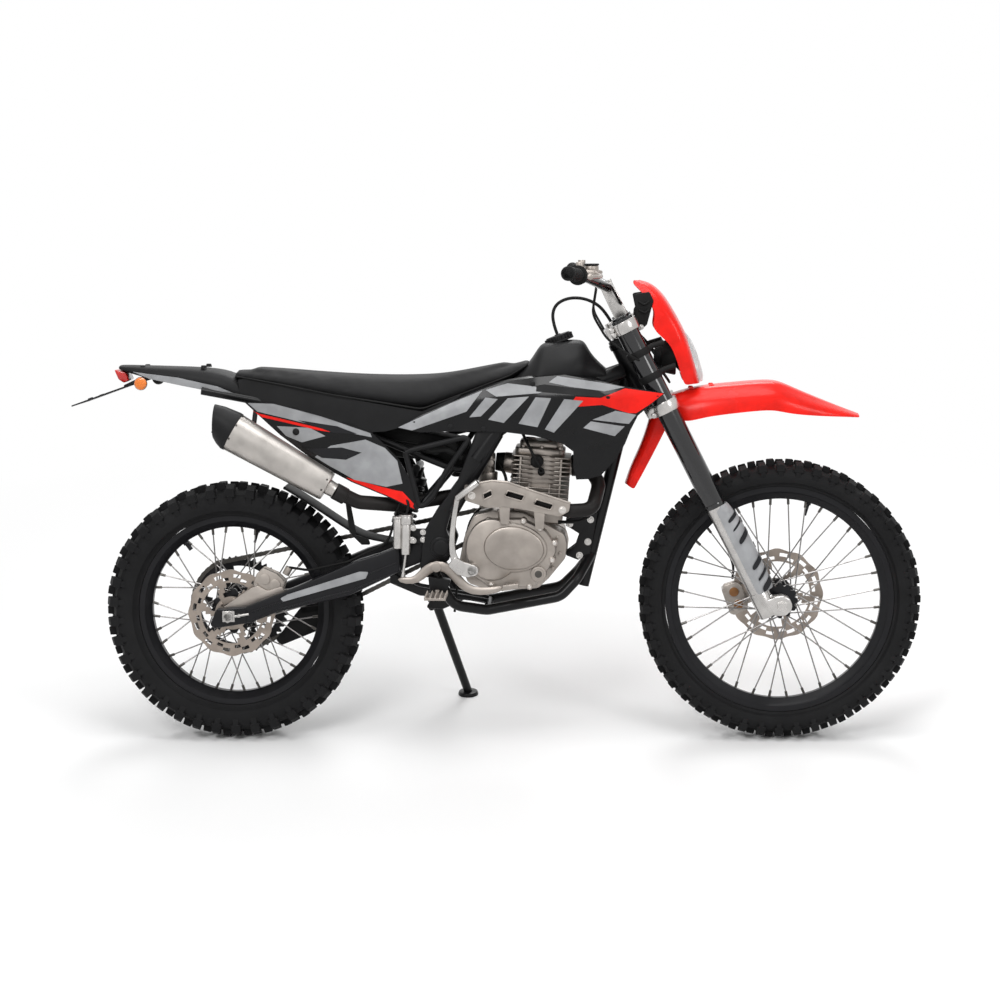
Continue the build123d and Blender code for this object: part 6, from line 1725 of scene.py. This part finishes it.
pieces = [rod(mm(446, CYLINDER_Y, 485), mm(448, CYLINDER_Y, 560), 12.5, sides=32, edge=2),
          rod(mm(449, CYLINDER_Y, 560), mm(449, CYLINDER_Y, 580), 16, sides=32, edge=2),
          rod(mm(449, CYLINDER_Y, 580), mm(449, CYLINDER_Y, 584), 18, sides=32, edge=1),
          rod(mm(426, CYLINDER_Y, 500), mm(428, CYLINDER_Y, 574), 11, sides=32, edge=2),
          rod(mm(428, CYLINDER_Y, 574), mm(428, CYLINDER_Y, 580), 14, sides=32, edge=1),
          plate(soft([(424, 516), (468, 512), (470, 528), (424, 532)], 5), -133, -118, 2),
          plate(soft([(426, 548), (470, 544), (470, 558), (426, 562)], 5), -133, -118, 2),
          rod(mm(446, CYLINDER_Y, 486), mm(437, -131, 424), 3.2, sides=16),
          rod(mm(440, -131, 440), mm(438, -131, 430), 6, sides=6, edge=0.5)]
pieces += [bolt(466, -132, -138, z, 5) for z in (520, 551)]
finish(joined("cylinder", pieces), "rear_brake_cylinder", "chassis", bright_alloy,
       ["rear_master_cylinder"], 35)

# %% [markdown]
# The foot controls are flat forgings: each lever is a loft of small rings along its bends.

# %% Pedals, levers and pegs
def forged(line, name="forged"):
    """Flat bar along points (x, y, z, height, thickness)."""
    rings = []
    for index, (x, y, z, high, thick) in enumerate(line):
        before, after = line[max(index - 1, 0)], line[min(index + 1, len(line) - 1)]
        run = (mm(*after[:3]) - mm(*before[:3])).normalized()
        across = run.cross(Vector((0, 1, 0))).normalized()
        ring = []
        for turn in range(8):
            angle = math.pi / 8 + math.pi * turn / 4
            ring.append(mm(x, y, z) + across * high / 1850 * math.cos(angle)
                        + Vector((0, thick / 1850 * math.sin(angle), 0)))
        rings.append(ring)
    return loft(rings, 1, name)


pieces = [forged([(424, -134, 424, 16, 8), (464, -135, 418, 18, 9), (482, -136, 432, 24, 9), (500, -138, 450, 26, 9),
                  (522, -140, 460, 26, 9), (548, -140, 454, 26, 9), (566, -141, 436, 25, 9), (584, -143, 412, 24, 9),
                  (610, -146, 396, 22, 9), (650, -149, 396, 20, 10), (690, -151, 406, 14, 12)]),
          rod(mm(522, -116.3, 455), mm(522, -147, 455), 12, sides=32, edge=1)]
pieces.append(plate(soft([(682, 400), (724, 406), (724, 419), (686, 414)], 3), -174, -146, 1.5))
pieces += [plate([(686 + 9 * index, 412 + index), (690 + 9 * index, 412.5 + index), (688 + 9 * index, 418 + index)],
                 -173, -147, 0.3) for index in range(5)]
finish(joined("pedal", pieces), "brake_pedal_forging", "chassis", cast_alloy, ["brake_pedal"], 50)
pieces = [forged([(618, 138, 434, 18, 9), (650, 142, 424, 15, 8), (700, 145, 408, 13, 8), (762, 149, 404, 12, 9)]),
          rod(mm(622, 92.3, 432), mm(622, 148, 432), 11, sides=28, edge=1)]
finish(joined("lever", pieces), "gear_lever_forging", "chassis", bright_alloy, ["gear_lever"], 50)
finish(rod(mm(758, 150, 404), mm(758, 179, 404), 9, 8, sides=24, edge=2), "gear_lever_rubber", "chassis",
       moulded_rubber)
pieces = [forged([(588, -152, 446, 22, 14), (566, -155, 474, 20, 12), (560, -158, 510, 15, 11), (566, -161, 570, 13, 11),
                  (576, -163, 626, 14, 12), (580, -164, 636, 14, 12)]),
          rod(mm(574, -163, 626), mm(628, -168, 668), 8, 9, sides=24, edge=3),
          rod(mm(612, -130, 449), mm(612, -163, 449), 14, sides=32, edge=1.5),
          plate(soft([(552, 462), (572, 440), (600, 432), (624, 440), (622, 460), (592, 470), (568, 484)], 6), -163, -148,
                2.5)]
finish(joined("kick", pieces), "kick_lever_forging", "chassis", bright_alloy, ["kick_lever"], 45)
pegs = []
for side in (-1, 1):
    pegs += [plate(soft([(506, 376), (540, 376), (540, 392), (506, 392)], 4), *sorted((side * 130, side * 150)), 2),
             plate(soft([(498, 386), (550, 386), (550, 392), (498, 392)], 2), *sorted((side * 144, side * 228)), 1)]
    for x in (498, 547):
        pegs.append(plate([(x, 386), (x + 3, 386), (x + 3, 394), (x, 394)], *sorted((side * 144, side * 228)), 0.5))
    for row in range(7):
        y = side * (147 + row * 13)
        pegs += [rod(mm(x, y, 390), mm(x, y, 398), 3, 1.4, sides=8) for x in (500, 512, 524, 536, 548)]
    pegs.append(rod(mm(523, side * 136, 372), mm(523, side * 136, 398), 6, sides=20, edge=1))
finish(joined("pegs", pegs), "foot_pegs", "chassis", cast_alloy, ["footpegs"], 35)

# %% [markdown]
# The shock absorber has a real coil: one line wound round its axis. The link, the mud flap, the chain guide and
# the stand complete the lower rear.

# %% Shock absorber, flap, guide and stand
SHOCK_TOP, SHOCK_FOOT = mm(470, 0, 690), mm(426, 0, 536)
shock_way = (SHOCK_TOP - SHOCK_FOOT).normalized()
shock_side = shock_way.cross(Vector((0, 1, 0))).normalized()
coil = [SHOCK_FOOT + shock_way * (14 + 100 * index / 168) / 1000
        + (shock_side * math.cos(index * 0.2617994) + Vector((0, 1, 0)) * math.sin(index * 0.2617994)) * 0.0245
        for index in range(169)]
spring = tube(coil, 5, 3, 8)
finish(spring, "shock_spring", "chassis", frame_paint)
pieces = [rod(SHOCK_FOOT, SHOCK_TOP, 15, sides=32), rod(SHOCK_FOOT + shock_way * 0.006, SHOCK_FOOT + shock_way * 0.014, 30, sides=40, edge=1),
          rod(SHOCK_FOOT + shock_way * 0.116, SHOCK_FOOT + shock_way * 0.134, 29, sides=40, edge=2),
          rod(mm(470, -56, 690), mm(470, 56, 690), 9), rod(mm(426, -16, 536), mm(426, 16, 536), 18, sides=32, edge=2),
          plate(soft([(412, 536), (440, 536), (430, 470), (420, 400), (398, 400), (396, 430)], 6), -14, 14, 3),
          rod(mm(408, -31, 410), mm(408, 31, 410), 9)]
pieces += both([(396, 420), (396, 398), (470, 366), (642, 348.3), (642, 357.3), (470, 388)], 22, 30, 1.5, 4)
finish(joined("shock", pieces), "shock_body_and_link", "chassis", frame_paint, ["rear_suspension"], 40)
FLAP_LINE = [(136, 642), (141, 641), (220, 590), (298, 536), (326, 522), (351, 514), (440, 497), (461, 490)]
rings = [mirrored([mm(x, -half, z - 3), mm(x, -half * 0.9, z), mm(x, -half * 0.4, z + 1), mm(x, 0, z + 1)])
         for (x, z), half in zip(FLAP_LINE, (49, 50, 50, 50, 50, 50, 46, 44))]
pieces = [shell(rings, 3), rod(mm(138, -49, 641), mm(138, 49, 641), 4, sides=16),
          plate(soft([(300, 530), (318, 524), (304, 604), (300, 640), (290, 640), (292, 600)], 4), -64, -58, 1.5),
          plate(soft([(300, 530), (330, 500), (352, 500), (348, 514)], 4), -64, -58, 1.5)]
finish(joined("flap", pieces), "mud_flap_sheet", "chassis", moulded_rubber, ["mud_flap"], 40)
GUIDE = [(93, 240), (105, 224), (199, 262), (207, 330), (157, 322)]
pieces = [plate(soft(GUIDE, 6), 47, 52, 1.2), plate(soft(GUIDE, 6), 76, 81, 1.2),
          plate([(160, 306), (206, 314), (207, 330), (157, 322)], 47, 81, 1),
          plate(soft([(165, 318), (205, 326), (200, 378), (170, 368)], 5), 76, 87.7, 1)]
pieces += [bolt(x, 81, 84, z, 4.5) for x, z in ((120, 250), (180, 276), (184, 312))]
finish(joined("guide", pieces), "chain_guide_block", "chassis", grained_plastic, ["chain_guide"])
ground_up = (UPRIGHT.to_3x3() @ Vector((0, 0, 1))).normalized()
stand_foot = UPRIGHT @ Vector((*(PARKED @ STAND_PIVOT).xy, 0)) + UPRIGHT.to_3x3() @ Vector((0.075, 0.105, 0))
stand_down = (stand_foot - STAND_PIVOT).normalized()
pieces = [rod(STAND_PIVOT + stand_down * 0.01, stand_foot + ground_up * 0.008, 12, 11, sides=28),
          rod(stand_foot, stand_foot + ground_up * 0.01, 27, 25, sides=36, edge=2),
          rod(STAND_PIVOT - STAND_AXIS * 0.009, STAND_PIVOT + STAND_AXIS * 0.009, 17, sides=36, edge=2)]
finish(joined("stand", pieces), "side_stand_leg", "side_stand", frame_paint, ["side_stand"], 40)

# %% [markdown]
# Cables and hoses run over the handlebar and down to the engine and the brakes. They are only in this scene.

# %% Cables and hoses
def beside_caliper(x, y, z):
    """Point beside the front caliper, turned with it."""
    across, up = front_of(x, z)
    return mm(across, y, up)


on_bike = [
    ("rear_brake_hose", [mm(449, -128, 584), mm(456, -126, 612), mm(440, -112, 630), mm(424, -104, 590), mm(400, -98, 510),
                         mm(300, -92, 462), mm(200, -88, 440), mm(150, -80, 446)], 3.2),
    ("carburettor_hose", [mm(668, -20, 706), mm(690, -40, 668), mm(694, -62, 626), mm(690, -78, 600)], 4),
    ("overflow_hoses", [mm(643, -6, 652), mm(636, -30, 600), mm(600, -60, 560), mm(570, -64, 420), mm(560, -60, 330)], 3),
    ("starter_cable", [mm(820, -96, 560), mm(880, -96, 560), mm(912, -60, 586), mm(930, -8, 610)], 4.2),
    ("frame_loom", [fork(-40, 30, 700), mm(960, 40, 880), mm(860, 64, 850), mm(760, 80, 800)], 5),
]
for name, line, radius in on_bike:
    finish(tube(line, radius, 60, 8), name, "chassis", moulded_rubber)
on_fork = [
    ("front_brake_hose", [fork(20, -236, 908), fork(40, -150, 890), fork(42, -60, 840), fork(42, 60, 780),
                          fork(46, 126, 700), fork(40, 132, 420), fork(10, 118, 200), beside_caliper(24, 96, 70),
                          beside_caliper(10, 80, 44)], 3.2),
    ("throttle_cable", [fork(6, -236, 900), fork(-30, -176, 850), fork(-26, -140, 780), fork(10, -134, 710),
                        fork(56, -92, 656), fork(62, -30, 610)], 3),
    ("clutch_cable", [fork(6, 236, 900), fork(-30, 176, 850), fork(-26, 140, 780), fork(10, 134, 710),
                      fork(56, 92, 656), fork(62, 30, 610)], 3),
    ("lamp_loom", [fork(40, 24, 770), fork(56, 26, 720), fork(66, 10, 660), mm(1066, 0, 962)], 4.5),
]
for name, line, radius in on_fork:
    finish(tube(line, radius, 70, 8), name, "front_end", moulded_rubber)
